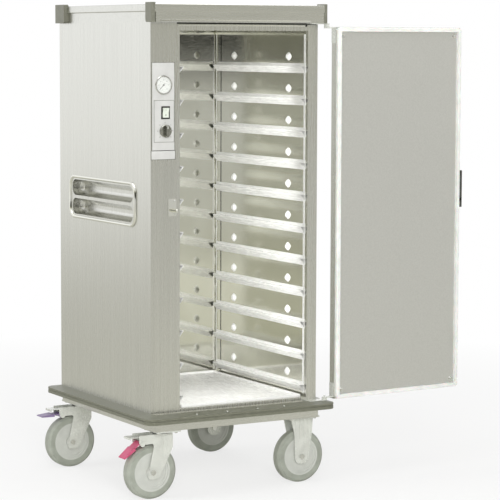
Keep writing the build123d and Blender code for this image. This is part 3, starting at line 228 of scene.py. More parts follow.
panel_steel = belt_ground_stainless("belt_ground_stainless", UPRIGHT)
deck_steel = belt_ground_stainless("belt_ground_stainless_across", ACROSS)
bright_steel = bright_annealed_stainless()
liner_steel = stucco_stainless()
rail_metal = mill_aluminium()
zinc = zinc_plated_steel()
screw_zinc = bright_zinc()
pvc = extruded_pvc()
silicone = silicone_rubber()
rubber = moulded_rubber()
core_plastic = moulded("pale_grey_polypropylene", "#C2C4BD", "#CBCDC6", 0.30)
latch_plastic = moulded("dark_grey_polyamide", "#3A3B36", "#4A4B45", 0.36)
black_plastic = moulded("black_polyamide", "#1A1B16", "#26271F", 0.32)
rocker_plastic = moulded("milky_polycarbonate", "#CDD3C6", "#E2E7DC", 0.20)
bumper_plastic = moulded("olive_grey_polyamide", "#6C6C60", "#78786C", 0.34)
case_plastic = moulded("grey_phenolic", "#8A8B84", "#9B9C95", 0.45)
front_pedal_plastic = moulded("raspberry_polyamide", "#BC4A6C", "#CC5F80", 0.34)
rear_pedal_plastic = moulded("heather_polyamide", "#7B6A8E", "#8F7FA2", 0.34)
# Black for the plug in the header, and for a strip that paints the shadow gap under the deck
plug_and_shadow_gap_black = moulded("black_plug_and_painted_shadow_gap", "#14150F", "#22231B", 0.5)
# Grey for the strips that paint the shadows round the plates on the pillar and round the switch field
painted_shadow_grey = moulded("grey_painted_shadow_strip", "#6E6F66", "#7C7D74", 0.46)
wool = mineral_wool()
heater_steel = heated_steel()
plate_lacquer = lacquered_plate("matt_lacquered_aluminium", "#C9C9C6", "#D0D0CD")
bezel_chrome = turned_chrome("bright_chrome", "#DCDCD8", "#E6E6E2", 0.10)
knob_chrome = turned_chrome("satin_chrome", "#9C9C94", "#B4B4AC", 0.18)
grey_enamel = enamel("slate_enamel", "#4C4D48", "#5A5B55")
white_enamel = enamel("white_enamel", "#DCDDD8", "#E4E5E0")
glass = float_glass()

node_finish = {
    "base_pan": deck_steel, "top_deck": deck_steel,
    "side_panel_left": panel_steel, "side_panel_right": panel_steel, "back_panel": panel_steel,
    "control_pillar": panel_steel, "door_frame": panel_steel, "door_skin": panel_steel,
    "grip_dish": panel_steel, "door_liner": liner_steel, "striker": bright_steel,
    "liner_left": bright_steel, "liner_right": bright_steel, "liner_wrap": bright_steel,
    "rails_left": rail_metal, "rails_right": rail_metal, "tilt_stops": rail_metal,
    "hinge_bracket_top": zinc, "hinge_bracket_bottom": zinc,
    "door_hinge_top": zinc, "door_hinge_bottom": zinc,
    "castor_plates": zinc, "swivel_bearings": black_plastic,
    "base_bumper": pvc, "corner_bumpers_front": bumper_plastic, "corner_bumpers_rear": bumper_plastic,
    "door_gasket": silicone, "wall_insulation": wool, "door_insulation": wool,
    "heater_element": heater_steel, "control_plate": plate_lacquer,
    "thermometer_case": bezel_chrome, "thermometer_glass": glass, "thermometer_needle": grey_enamel,
    "switch_frame": black_plastic, "switch_rocker": rocker_plastic,
    "thermostat_body": case_plastic, "thermostat_knob": knob_chrome,
    "latch_body": latch_plastic, "latch_lever": latch_plastic, "power_inlet": black_plastic,
    "brake_pedal_front_left": front_pedal_plastic, "brake_pedal_rear_left": rear_pedal_plastic,
}
for corner in ("front_left", "front_right", "rear_left", "rear_right"):
    node_finish[f"tyre_{corner}"] = rubber
    node_finish[f"wheel_core_{corner}"] = core_plastic
    node_finish[f"axle_{corner}"] = screw_zinc
    node_finish[f"fork_{corner}"] = zinc

for name, node in nodes.items():
    node.data.materials.clear()
    node.data.materials.append(node_finish[name])


# Mesh helpers: outlines in millimetres, placed by a matrix

# A place on a face that looks to the front: its X is the trolley's X, its Y is up and its Z leaves the face
FRONT = Matrix(((1, 0, 0), (0, 0, -1), (0, 1, 0))).to_4x4()
# A place on the left side: its Z leaves the trolley to the left
LEFT = Matrix(((0, 0, -1), (-1, 0, 0), (0, 1, 0))).to_4x4()
UP = Matrix.Identity(4)
DOWN = Matrix.Rotation(math.pi, 4, "X")

ROUND_SIDES = 40
HEX_SIDES = 6
BEVEL_STEPS = 3
SHARP_ANGLE = 35.0
IN_FRONT_OF_ALL = -1000.0


def box_mm(node):
    """The low and the high corner of a node's box."""
    low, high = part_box(node)
    return low / MM, high / MM


def centre_of(node):
    """The middle of a node's box."""
    low, high = box_mm(node)
    return (low + high) / 2


def at(x, y, z, turn=FRONT):
    """A place by its millimetres."""
    return Matrix.Translation(Vector((x, y, z))) @ turn


def seat(node, x, z):
    """The place on the front face of a node's mesh at x and z, with its Z square to the face."""
    mesh = nodes[node].data
    tree = BVHTree.FromPolygons([v.co for v in mesh.vertices], [p.vertices for p in mesh.polygons])
    spot, normal = tree.ray_cast(Vector((x, IN_FRONT_OF_ALL, z)) * MM, Vector((0, 1, 0)))[:2]
    return Matrix.Translation(spot / MM) @ normal.to_track_quat("Z", "Y").to_matrix().to_4x4()


def turned(mesh, place, outline, sides=ROUND_SIDES, closed=False):
    """Turns an outline of (radius, height) round the place's Z axis. A closed outline makes a ring."""
    rings = []
    for radius, height in outline:
        steps = sides if radius else 1
        angles = [2 * math.pi * k / steps for k in range(steps)]
        points = [Vector((radius * math.cos(a), radius * math.sin(a), height)) for a in angles]
        rings.append([mesh.verts.new(place @ p * MM) for p in points])
    pairs = list(zip(rings, rings[1:])) + ([(rings[-1], rings[0])] if closed else [])
    for low, high in pairs:
        for k in range(sides):
            after = k + 1
            corners = [low[k % len(low)], low[after % len(low)], high[after % len(high)], high[k % len(high)]]
            mesh.faces.new(list(dict.fromkeys(corners)))


def slab(mesh, place, width, height, depth, rounding):
    """A plate of width by height that stands depth out of its place, with its edges rounded."""
    shape = place @ Matrix.Translation((0, 0, depth / 2)) @ Matrix.Diagonal((width, height, depth, 1.0))
    made = bmesh.ops.create_cube(mesh, size=1.0, matrix=Matrix.Scale(MM, 4) @ shape)
    edges = list(dict.fromkeys(edge for vert in made["verts"] for edge in vert.link_edges))
    offset = rounding * MM
    bmesh.ops.bevel(mesh, geom=edges, offset=offset, segments=BEVEL_STEPS, profile=0.5, affect="EDGES")


def strip(mesh, span, y, z, height, depth, rounding):
    """A level strip on a face that looks to the front, from one x of its span to the other."""
    slab(mesh, at((span[0] + span[1]) / 2, y, z), span[1] - span[0], height, depth, rounding)


def border(mesh, y, middle_x, middle_z, width, height, strip_width, depth):
    """Four flat strips just outside a rectangle on a face that looks to the front."""
    for side in (-1, 1):
        beside = middle_x + side * (width + strip_width) / 2
        above = middle_z + side * (height + strip_width) / 2
        slab(mesh, at(beside, y, middle_z), strip_width, height + 2 * strip_width, depth, depth / 4)
        slab(mesh, at(middle_x, y, above), width, strip_width, depth, depth / 4)


def prism(mesh, outline, low, high):
    """Stretches an outline of (x, y) from height low to height high."""
    bottom = [mesh.verts.new(Vector((x, y, low)) * MM) for x, y in outline]
    top = [mesh.verts.new(Vector((x, y, high)) * MM) for x, y in outline]
    mesh.faces.new(bottom)
    mesh.faces.new(top)
    for k in range(len(outline)):
        after = (k + 1) % len(outline)
        mesh.faces.new([bottom[k], bottom[after], top[after], top[k]])


QUARTERS = ((1, 1), (-1, 1), (-1, -1), (1, -1))
BEAD_STEPS = 6


def bead(mesh, place, width, height, corner, radius):
    """A half-round bead that runs round a rectangle with rounded corners."""
    path = []
    for quarter, (right, up) in enumerate(QUARTERS):
        middle = Vector((right * (width / 2 - corner), up * (height / 2 - corner), 0))
        for step in range(BEAD_STEPS + 1):
            turn = math.radians(90 * (quarter + step / BEAD_STEPS))
            outward = Vector((math.cos(turn), math.sin(turn), 0))
            path.append((middle + corner * outward, outward))
    half_round = [math.pi * step / BEAD_STEPS for step in range(BEAD_STEPS + 1)]
    rows = []
    for spot, outward in path:
        points = [spot + radius * (math.cos(a) * outward + Vector((0, 0, math.sin(a)))) for a in half_round]
        rows.append([mesh.verts.new(place @ p * MM) for p in points])
    for k, row in enumerate(rows):
        after = rows[(k + 1) % len(rows)]
        for j in range(len(row)):
            beside = (j + 1) % len(row)
            mesh.faces.new([row[j], row[beside], after[beside], after[j]])


# How high the figures of Blender's own typeface stand for a text size of 1
FIGURE_SHARE = 0.7


def figures(mesh, place, text, height, thick):
    """Printed figures of a height, thick enough to keep their edges."""
    print_curve = bpy.data.curves.new("figures", "FONT")
    print_curve.body = text
    print_curve.size = height / FIGURE_SHARE
    print_curve.align_x = "CENTER"
    print_curve.align_y = "CENTER"
    print_curve.extrude = thick / 2
    print_curve.resolution_u = 3
    holder = bpy.data.objects.new("figures", print_curve)
    bpy.context.scene.collection.objects.link(holder)
    flat = bpy.data.meshes.new_from_object(holder.evaluated_get(bpy.context.evaluated_depsgraph_get()))
    flat.transform(Matrix.Scale(MM, 4) @ place @ Matrix.Translation((0, 0, thick / 2)))
    mesh.from_mesh(flat)
    bpy.data.objects.remove(holder)
    bpy.data.curves.remove(print_curve)
    bpy.data.meshes.remove(flat)


def piece(name, mesh, material, body="root"):
    """A finished mesh as a piece of the trolley that rides on one of its bodies."""
    bmesh.ops.recalc_face_normals(mesh, faces=mesh.faces)
    data = bpy.data.meshes.new(name)
    mesh.to_mesh(data)
    mesh.free()
    for face in data.polygons:
        face.use_smooth = True
    data.set_sharp_from_angle(angle=math.radians(SHARP_ANGLE))
    data.materials.append(material)
    made = bpy.data.objects.new(name, data)
    bpy.context.scene.collection.objects.link(made)
    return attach(made, body)


# Cavity: corner sheets, uprights and drip tray

LINER_SHEET = 1.2
CORNER_SHEET = 0.8
COVE_RADIUS = 12.0
COVE_STEPS = 8
CORNER_SIDE_LAP = 57.0
CORNER_BACK_LAP = 20.0
CORNER_FOOT = 341.0
CORNER_TOP = 1693.0


def liner_corners():
    """Upright corner sheets that round the cavity's two rear corners and lap onto the walls beside them."""
    mesh = bmesh.new()
    low, high = box_mm("liner_wrap")
    back = high.y - LINER_SHEET
    middle = CORNER_SHEET + COVE_RADIUS
    turn = [math.radians(180 + 90 * k / COVE_STEPS) for k in range(COVE_STEPS + 1)]
    cove = [(middle + COVE_RADIUS * math.cos(a), middle + COVE_RADIUS * math.sin(a)) for a in turn]
    outline = [(0, CORNER_SIDE_LAP), (CORNER_SHEET, CORNER_SIDE_LAP), *cove]
    outline += [(CORNER_BACK_LAP, CORNER_SHEET), (CORNER_BACK_LAP, 0), (0, 0)]
    for wall, inward in ((low.x, 1), (high.x, -1)):
        prism(mesh, [(wall + inward * u, back - v) for u, v in outline], CORNER_FOOT, CORNER_TOP)
    piece("liner_corners", mesh, bright_steel)


UPRIGHT_WIDTH = 12.0
UPRIGHT_THICK = 1.0
UPRIGHT_EDGE = 0.3
FRONT_UPRIGHT_BEHIND_RAIL_END = 2.0
REAR_UPRIGHT_BEHIND_RAIL_END = 1.0


def rail_uprights():
    """Four flat uprights on the side walls, which the rails hang on."""
    mesh = bmesh.new()
    low, high = box_mm("liner_wrap")
    rail_low, rail_high = box_mm("rails_right")
    front = rail_low.y + UPRIGHT_WIDTH / 2 + FRONT_UPRIGHT_BEHIND_RAIL_END
    rear = rail_high.y + UPRIGHT_WIDTH / 2 + REAR_UPRIGHT_BEHIND_RAIL_END
    height = CORNER_TOP - CORNER_FOOT
    middle = (CORNER_TOP + CORNER_FOOT) / 2
    for y in (front, rear):
        for wall, inward in ((low.x, 1), (high.x, -1)):
            into_cavity = Matrix.Rotation(math.radians(90 * inward), 4, "Y")
            slab(mesh, at(wall, y, middle, into_cavity), height, UPRIGHT_WIDTH, UPRIGHT_THICK, UPRIGHT_EDGE)
    piece("rail_uprights", mesh, rail_metal)


TRAY_GAP = 14.0
TRAY_FRONT_GAP = 6.0
TRAY_SHEET = 0.9
TRAY_SHEET_EDGE = 0.3
TRAY_LIFT = 0.1
TRAY_RIM = 9.0
TRAY_RIM_THICK = 1.4
TRAY_RIM_EDGE = 0.5
TRAY_RIM_LIFT = 0.5


def drip_tray():
    """A shallow folded tray on the cavity's floor."""
    mesh = bmesh.new()
    low, high = box_mm("liner_wrap")
    floor = low.z + LINER_SHEET
    x0, x1 = low.x + TRAY_GAP, high.x - TRAY_GAP
    y0 = box_mm("liner_left")[0].y + TRAY_FRONT_GAP
    y1 = high.y - TRAY_GAP - LINER_SHEET
    middle_x, middle_y = (x0 + x1) / 2, (y0 + y1) / 2
    slab(mesh, at(middle_x, middle_y, floor + TRAY_LIFT, UP), x1 - x0, y1 - y0, TRAY_SHEET, TRAY_SHEET_EDGE)
    foot = floor + TRAY_RIM_LIFT
    for x in (x0, x1):
        slab(mesh, at(x, middle_y, foot, UP), TRAY_RIM_THICK, y1 - y0, TRAY_RIM, TRAY_RIM_EDGE)
    for y in (y0, y1):
        slab(mesh, at(middle_x, y, foot, UP), x1 - x0, TRAY_RIM_THICK, TRAY_RIM, TRAY_RIM_EDGE)
    piece("drip_tray", mesh, rail_metal)


# Controls: dial, scales, marks and plates

DIAL_TURN = 270.0
PRINT_THICK = 0.1
PRINT_EDGE = 0.02
MARK_WIDTH = 0.7


def around(centre, y, turn, radius):
    """The place at a radius on a scale, turn degrees clockwise from its top, and the turn by itself."""
    spin = Matrix.Rotation(math.radians(-turn), 4, "Z")
    return at(centre.x, y, centre.z) @ spin @ Matrix.Translation((0, radius, 0)), spin


def scale_marks(name, centre, y, radius, numbers, small_marks, long_mark, figure_height, figure_radius):
    """A printed scale round a centre: a long mark at each number, small marks between and upright numbers."""
    mesh = bmesh.new()
    step = DIAL_TURN / (len(numbers) - 1)
    for k, number in enumerate(numbers):
        turn = k * step - DIAL_TURN / 2
        place = around(centre, y, turn, radius - long_mark / 2)[0]
        slab(mesh, place, MARK_WIDTH, long_mark, PRINT_THICK, PRINT_EDGE)
        place, spin = around(centre, y, turn, figure_radius)
        figures(mesh, place @ spin.inverted(), str(number), figure_height, PRINT_THICK)
    for k in range((len(numbers) - 1) * small_marks):
        turn = k * step / small_marks - DIAL_TURN / 2
        place = around(centre, y, turn, radius - long_mark / 4)[0]
        slab(mesh, place, MARK_WIDTH / 2, long_mark / 2, PRINT_THICK, PRINT_EDGE)
    piece(name, mesh, grey_enamel)


DIAL_NUMBERS = [0, 20, 40, 60, 80, 100, 120]
DIAL_FACE_STANDOFF = 0.6
DIAL_FACE_RADIUS = 29.0
DIAL_FACE_THICK = 0.12
DIAL_SCALE_RADIUS = 26.5
DIAL_SMALL_MARKS = 5
DIAL_MARK = 3.6
DIAL_FIGURE = 3.4
DIAL_FIGURE_RADIUS = 18.5


def thermometer_dial():
    """The white face behind the needle and its printed scale, a mark every 4 degrees."""
    centre = centre_of("thermometer_glass")
    face_y = box_mm("control_plate")[0].y - DIAL_FACE_STANDOFF
    face = [(0, 0), (DIAL_FACE_RADIUS, 0), (DIAL_FACE_RADIUS, DIAL_FACE_THICK), (0, DIAL_FACE_THICK)]
    mesh = bmesh.new()
    turned(mesh, at(centre.x, face_y, centre.z), face)
    piece("thermometer_face", mesh, white_enamel)
    scale_marks("thermometer_scale", centre, face_y - DIAL_FACE_THICK, DIAL_SCALE_RADIUS, DIAL_NUMBERS,
                DIAL_SMALL_MARKS, DIAL_MARK, DIAL_FIGURE, DIAL_FIGURE_RADIUS)


KNOB_NUMBERS = [30, 40, 50, 60, 70, 80, 90]
KNOB_SCALE_RADIUS = 27.5
KNOB_SMALL_MARKS = 2
KNOB_MARK = 2.4
KNOB_FIGURE = 3.0
KNOB_FIGURE_RADIUS = 31.0
POINTER_UP = 14.0
POINTER_WIDTH = 1.6
POINTER_LENGTH = 12.0
POINTER_THICK = 0.15
POINTER_EDGE = 0.04


def thermostat_marks():
    """The scale round the knob and the line on its grip that points to it."""
    centre = centre_of("thermostat_knob")
    plate_y = box_mm("control_plate")[0].y
    scale_marks("thermostat_scale", centre, plate_y, KNOB_SCALE_RADIUS, KNOB_NUMBERS,
                KNOB_SMALL_MARKS, KNOB_MARK, KNOB_FIGURE, KNOB_FIGURE_RADIUS)
    z = centre.z + POINTER_UP
    grip_y = seat("thermostat_knob", centre.x, z).translation.y
    mesh = bmesh.new()
    slab(mesh, at(centre.x, grip_y, z), POINTER_WIDTH, POINTER_LENGTH, POINTER_THICK, POINTER_EDGE)
    piece("knob_pointer", mesh, white_enamel, "knob")


ROCKER_MARK_FROM_MIDDLE = 9.0
OFF_RING_INNER = 2.0
OFF_RING_OUTER = 3.0
ON_BAR_WIDTH = 0.9
ON_BAR_LENGTH = 5.0


def rocker_marks():
    """The ring and the bar, off and on, printed on the two faces of the rocker."""
    centre = centre_of("switch_rocker")
    ring = [(OFF_RING_INNER, 0), (OFF_RING_OUTER, 0)]
    ring += [(OFF_RING_OUTER, PRINT_THICK), (OFF_RING_INNER, PRINT_THICK)]
    mesh = bmesh.new()
    turned(mesh, seat("switch_rocker", centre.x, centre.z - ROCKER_MARK_FROM_MIDDLE), ring, closed=True)
    bar = seat("switch_rocker", centre.x, centre.z + ROCKER_MARK_FROM_MIDDLE)
    slab(mesh, bar, ON_BAR_WIDTH, ON_BAR_LENGTH, PRINT_THICK, PRINT_EDGE)
    piece("rocker_marks", mesh, grey_enamel, "rocker")


# Rectangles on the pillar: the middle's x and z, the width and the height
BARE_PLATE = (-299.5, 1257.5, 95.0, 30.0)
SWITCH_FIELD = (-296.5, 1379.0, 79.0, 148.0)
BARE_PLATE_THICK = 1.4
BARE_PLATE_EDGE = 0.5
# The grey strips that paint the shadows round the plates, and the grey outline that paints shade round the
# switch field
SHADOW_STRIP_WIDTH = 2.4
SHADOW_STRIP_THICK = 0.7
FIELD_SHADOW_WIDTH = 1.6
FIELD_SHADOW_THICK = 0.12


def plates_on_pillar():
    """The bare plate under the control plate, with grey strips round both and a grey outline round the switch
    and knob that paint the shadows at their edges.
    """
    low, high = box_mm("control_plate")
    x, z, width, height = BARE_PLATE
    mesh = bmesh.new()
    slab(mesh, at(x, high.y, z), width, height, BARE_PLATE_THICK, BARE_PLATE_EDGE)
    piece("bare_plate", mesh, plate_lacquer)
    control_plate = ((low.x + high.x) / 2, (low.z + high.z) / 2, high.x - low.x, high.z - low.z)
    # Grey strips that paint the shadows round both plates, and a grey outline that paints shade round the
    # field of the switch and knob
    mesh = bmesh.new()
    border(mesh, high.y, *BARE_PLATE, SHADOW_STRIP_WIDTH, SHADOW_STRIP_THICK)
    border(mesh, high.y, *control_plate, SHADOW_STRIP_WIDTH, SHADOW_STRIP_THICK)
    border(mesh, low.y, *SWITCH_FIELD, FIELD_SHADOW_WIDTH, FIELD_SHADOW_THICK)
    piece("plate_painted_shadows", mesh, painted_shadow_grey)


# Shell: bead, hems, seals and fasteners

BEAD_RADIUS = 6.0
BEAD_INSET = 7.0
BEAD_CORNER = 35.0


def grip_bead():
    """The half-round bead rolled into the flange of the grip dish."""
    low, high = box_mm("grip_dish")
    place = at(low.x, (low.y + high.y) / 2, (low.z + high.z) / 2, LEFT)
    length = high.y - low.y - 2 * BEAD_INSET
    height = high.z - low.z - 2 * BEAD_INSET
    mesh = bmesh.new()
    bead(mesh, place, length, height, BEAD_CORNER, BEAD_RADIUS)
    piece("grip_bead", mesh, bright_steel)


def pan_head(mesh, place, radius):
    """A domed screw head with a small round drive recess. Its heights and radii are shares of its radius."""
    rise = 0.45 * radius
    dome = [(radius, 0), (radius, 0.25 * rise), (0.86 * radius, 0.66 * rise), (0.6 * radius, 0.9 * rise)]
    recess = [(0.34 * radius, rise), (0.3 * radius, 0.6 * rise), (0, 0.5 * rise)]
    turned(mesh, place, [(0, 0), *dome, *recess])


WASHER_THICK = 1.4
WASHER_SHARE = 0.92
HEX_HEAD_SHARE = 0.36
HEX_CROWN = 0.5
HEX_CROWN_SHARE = 0.88


def hex_bolt(mesh, place, across_flats):
    """A hexagon bolt head with a crowned top, on a plain washer."""
    washer = WASHER_SHARE * across_flats
    turned(mesh, place, [(0, 0), (washer, 0), (washer, WASHER_THICK), (0, WASHER_THICK)])
    radius = across_flats / math.sqrt(3)
    crown = HEX_CROWN_SHARE * radius
    top = WASHER_THICK + HEX_HEAD_SHARE * across_flats
    peak = top + HEX_CROWN
    head = [(0, WASHER_THICK), (radius, WASHER_THICK), (radius, top), (crown, peak), (0, peak)]
    turned(mesh, place, head, HEX_SIDES)


STRIKER_SCREW_RADIUS = 4.4
STRIKER_SCREW_RIGHT = 9.0
STRIKER_SCREW_INSET = 9.0


def striker_screws():
    """Two screws that hold the latch striker to the pillar."""
    low, high = box_mm("striker")
    x = (low.x + high.x) / 2 + STRIKER_SCREW_RIGHT
    mesh = bmesh.new()
    for z in (low.z + STRIKER_SCREW_INSET, high.z - STRIKER_SCREW_INSET):
        pan_head(mesh, at(x, seat("striker", x, z).translation.y, z), STRIKER_SCREW_RADIUS)
    piece("striker_screws", mesh, screw_zinc)


# Strips on the deck and the header: how far their two ends are from the sheet's left and right ends, how far
# their middle is from the sheet's edge, and their height, depth and rounding
HEM_ENDS = (22.0, 62.0)
HEM_UP = 4.6
HEM = (9.0, 0.5, 0.2)
# The black strip that paints the shadow gap between the deck and the header
SHADOW_GAP_ENDS = (2.0, 6.0)
SHADOW_GAP_DOWN = 3.0
SHADOW_GAP = (5.6, 1.6, 0.6)
FOLD_ENDS = (5.0, 57.0)
FOLD_DOWN = 10.0
FOLD = (5.0, 1.4, 0.5)
PLUG_FROM_RIGHT = 50.0
PLUG_DOWN = 9.0
PLUG = [(0, 0), (3.6, 0), (3.6, 1.2), (2.8, 2.0), (0, 2.2)]


def top_trim():
    """The deck's folded hem, a black strip under it that paints the shadow gap there, the header's drip fold
    and a plug in its corner.
    """
    deck_low, deck_high = box_mm("top_deck")
    header_low, header_high = box_mm("door_frame")
    top = header_high.z
    mesh = bmesh.new()
    span = (deck_low.x + HEM_ENDS[0], deck_high.x - HEM_ENDS[1])
    strip(mesh, span, deck_low.y, deck_low.z + HEM_UP, *HEM)
    piece("deck_hem", mesh, deck_steel)
    # A black strip painted where the deck meets the header, standing in for the shadow gap there
    mesh = bmesh.new()
    span = (header_low.x + SHADOW_GAP_ENDS[0], header_high.x - SHADOW_GAP_ENDS[1])
    strip(mesh, span, header_low.y, top - SHADOW_GAP_DOWN, *SHADOW_GAP)
    piece("deck_painted_shadow_gap", mesh, plug_and_shadow_gap_black)
    mesh = bmesh.new()
    span = (header_low.x + FOLD_ENDS[0], header_high.x - FOLD_ENDS[1])
    strip(mesh, span, header_low.y, top - FOLD_DOWN, *FOLD)
    piece("header_drip_fold", mesh, bright_steel)
    mesh = bmesh.new()
    turned(mesh, at(header_high.x - PLUG_FROM_RIGHT, header_low.y, top - PLUG_DOWN), PLUG)
    piece("header_plug", mesh, plug_and_shadow_gap_black)


BUMPER_SCREWS_X = (-191.0, -64.0, 64.0, 178.0)
BUMPER_SCREW_Y = -441.0
BUMPER_SCREW_Z = 314.0
BUMPER_SCREW_RADIUS = 4.0
BUMPER_TOP_SLOPE = 9.8


def bumper_screws():
    """Screws through the sloping top of the base bumper into the pan behind it."""
    slope = Matrix.Rotation(math.radians(BUMPER_TOP_SLOPE), 4, "X")
    mesh = bmesh.new()
    for x in BUMPER_SCREWS_X:
        pan_head(mesh, at(x, BUMPER_SCREW_Y, BUMPER_SCREW_Z, slope), BUMPER_SCREW_RADIUS)
    piece("bumper_screws", mesh, screw_zinc)


DOOR_SCREW_IN = 14.0
DOOR_SCREW_UP = 16.0
DOOR_SCREW_RADIUS = 5.4
CUP_WASHER = [(0, 0), (8.0, 0), (7.2, 1.0), (4.4, 1.2), (0, 1.2)]
CUP_DEPTH = 1.0


def door_liner_screws():
    """Screws on cup washers in the four corners of the door's inner sheet."""
    low, high = box_mm("door_liner")
    mesh = bmesh.new()
    for x in (low.x + DOOR_SCREW_IN, high.x - DOOR_SCREW_IN):
        for z in (low.z + DOOR_SCREW_UP, high.z - DOOR_SCREW_UP):
            place = seat("door_liner", x, z)
            turned(mesh, place, CUP_WASHER)
            pan_head(mesh, place @ Matrix.Translation((0, 0, CUP_DEPTH)), DOOR_SCREW_RADIUS)
    piece("door_liner_screws", mesh, screw_zinc, "door")


# A castor plate's middle in x, then how far its bolts are from the middle in x and in y
SWIVEL_PLATE = (-287.0, 35.0, 52.5)
FIXED_PLATE = (299.0, 52.5, 35.0)
CASTOR_BOLT = 11.0


def castor_bolts():
    """Four hexagon bolts under each castor plate."""
    under = box_mm("castor_plates")[0].z
    mesh = bmesh.new()
    for end in ("front", "rear"):
        y = centre_of(f"axle_{end}_left").y
        for x, reach_x, reach_y in (SWIVEL_PLATE, FIXED_PLATE):
            for side in (-1, 1):
                for way in (-1, 1):
                    hex_bolt(mesh, at(x + side * reach_x, y + way * reach_y, under, DOWN), CASTOR_BOLT)
    piece("castor_bolts", mesh, screw_zinc)


liner_corners()
rail_uprights()
drip_tray()
thermometer_dial()
thermostat_marks()
rocker_marks()
plates_on_pillar()
grip_bead()
striker_screws()
top_trim()
bumper_screws()
door_liner_screws()
castor_bolts()


# Studio, in metres: a white surround, a pale floor and soft lamps

WHITE = "#FFFFFF"

# Surround: the way to its dark wall, and how bright that wall, the pale ones, the ceiling and the fill are
DARK_WAY = (-0.47, -0.88, 0.0)
DARK_WALL = 0.10
BRIGHT_WALL = 1.28
CEILING_LIGHT = 0.95
SOFT_FILL = 0.38
OLIVE_PAINT = "#E4E2CC"
COOL_PAINT = "#F6F7F8"
# A facing is 1 towards the dark wall and -1 away from it. The walls are fully bright from one facing on, and
# turn from olive to cool between two
FULLY_BRIGHT = 0.35
OLIVE_FROM = 0.6
COOL_FROM = -0.5
# A height is 0 at the horizon and 1 overhead. The walls turn to ceiling between the last two
SKIRTING_TOP = 0.09
WALL_TOP = 0.12
CEILING = 0.5
# The skirting's light is this share of the wall's on the dark side, and all of it on the pale one
SKIRTING_SHARE = 0.16
SKIRTING_PALE = -0.2
SKIRTING_DARK = 0.4


def studio_surround():
    """White to the eye, and an even fill on paint and plastic.

    What the metal mirrors is a studio: a dark wall behind the photographer, paler ones to the sides and the
    back, and a bright ceiling.
    """
    world = bpy.data.worlds.new("studio_surround")
    world.use_nodes = True
    bpy.context.scene.world = world
    tree = world.node_tree
    tree.nodes.clear()
    way = add(tree, "ShaderNodeTexCoord").outputs["Generated"]
    facing = add(tree, "ShaderNodeVectorMath", {0: way, 1: DARK_WAY}, operation="DOT_PRODUCT")
    facing = facing.outputs["Value"]
    height = add(tree, "ShaderNodeSeparateXYZ", {"Vector": way}).outputs["Z"]

    sockets = {"Value": facing, "From Min": 1.0, "From Max": FULLY_BRIGHT,
               "To Min": DARK_WALL, "To Max": BRIGHT_WALL}
    wall = add(tree, "ShaderNodeMapRange", sockets, interpolation_type="SMOOTHSTEP").outputs["Result"]
    sockets = {"Value": facing, "From Min": SKIRTING_PALE, "From Max": SKIRTING_DARK,
               "To Min": 1.0, "To Max": SKIRTING_SHARE}
    share = add(tree, "ShaderNodeMapRange", sockets).outputs["Result"]
    sockets = {"Value": height, "From Min": 0.0, "From Max": SKIRTING_TOP, "To Min": share, "To Max": 1.0}
    skirting = add(tree, "ShaderNodeMapRange", sockets).outputs["Result"]
    wall = add(tree, "ShaderNodeMath", {0: wall, 1: skirting}, operation="MULTIPLY").outputs[0]

    cool = add(tree, "ShaderNodeMapRange", {"Value": facing, "From Min": OLIVE_FROM, "From Max": COOL_FROM})
    sockets = {"Factor": cool.outputs["Result"], 6: linear(OLIVE_PAINT), 7: linear(COOL_PAINT)}
    paint = add(tree, "ShaderNodeMix", sockets, data_type="RGBA").outputs[2]

    rise = add(tree, "ShaderNodeMapRange", {"Value": height, "From Min": WALL_TOP, "From Max": CEILING})
    rise = rise.outputs["Result"]
    sockets = {"Factor": rise, 6: paint, 7: linear(WHITE)}
    colour = add(tree, "ShaderNodeMix", sockets, data_type="RGBA").outputs[2]
    strength = add(tree, "ShaderNodeMix", {"Factor": rise, 2: wall, 3: CEILING_LIGHT}).outputs[0]

    ray = add(tree, "ShaderNodeLightPath").outputs
    walls = add(tree, "ShaderNodeBackground", {"Color": colour, "Strength": strength}).outputs[0]
    fill = add(tree, "ShaderNodeBackground", {"Color": linear(WHITE), "Strength": SOFT_FILL}).outputs[0]
    white = add(tree, "ShaderNodeBackground", {"Color": linear(WHITE), "Strength": 1.0}).outputs[0]
    lit = add(tree, "ShaderNodeMixShader", {0: ray["Is Glossy Ray"], 1: fill, 2: walls}).outputs[0]
    seen = add(tree, "ShaderNodeMixShader", {0: ray["Is Camera Ray"], 1: lit, 2: white}).outputs[0]
    add(tree, "ShaderNodeOutputWorld", {"Surface": seen})


FLOOR_REACH = 300.0
FLOOR_PAINT = "#F6F6F4"
# To the eye the floor glows white: this much beside the trolley, and fully from where the fade ends
FLOOR_GLOW = 0.72
FADE_START = 1.2
FADE_END = 4.0
# To the metal the floor glows by this share, olive near the trolley and cool far off
GLOSSY_SHARE = 0.85
NEAR_PAINT = "#F3F2E4"
FAR_PAINT = "#F7F7F5"
COOLS_FROM = 3.0
COOLS_TO = 16.0
# Behind the trolley it brightens with distance
BEHIND_NEAR = 0.68
BEHIND_FAR = 1.32
BRIGHTENS_FROM = 6.0
BRIGHTENS_TO = 18.0
# In front it is even, and falls dark far off
FRONT_NEAR = 0.77
FRONT_FAR = 0.05
DARKENS_FROM = 85.0
DARKENS_TO = 140.0
# The trolley's own depth, over which behind turns to front
BEHIND_ENDS = -0.3
FRONT_STARTS = -1.8


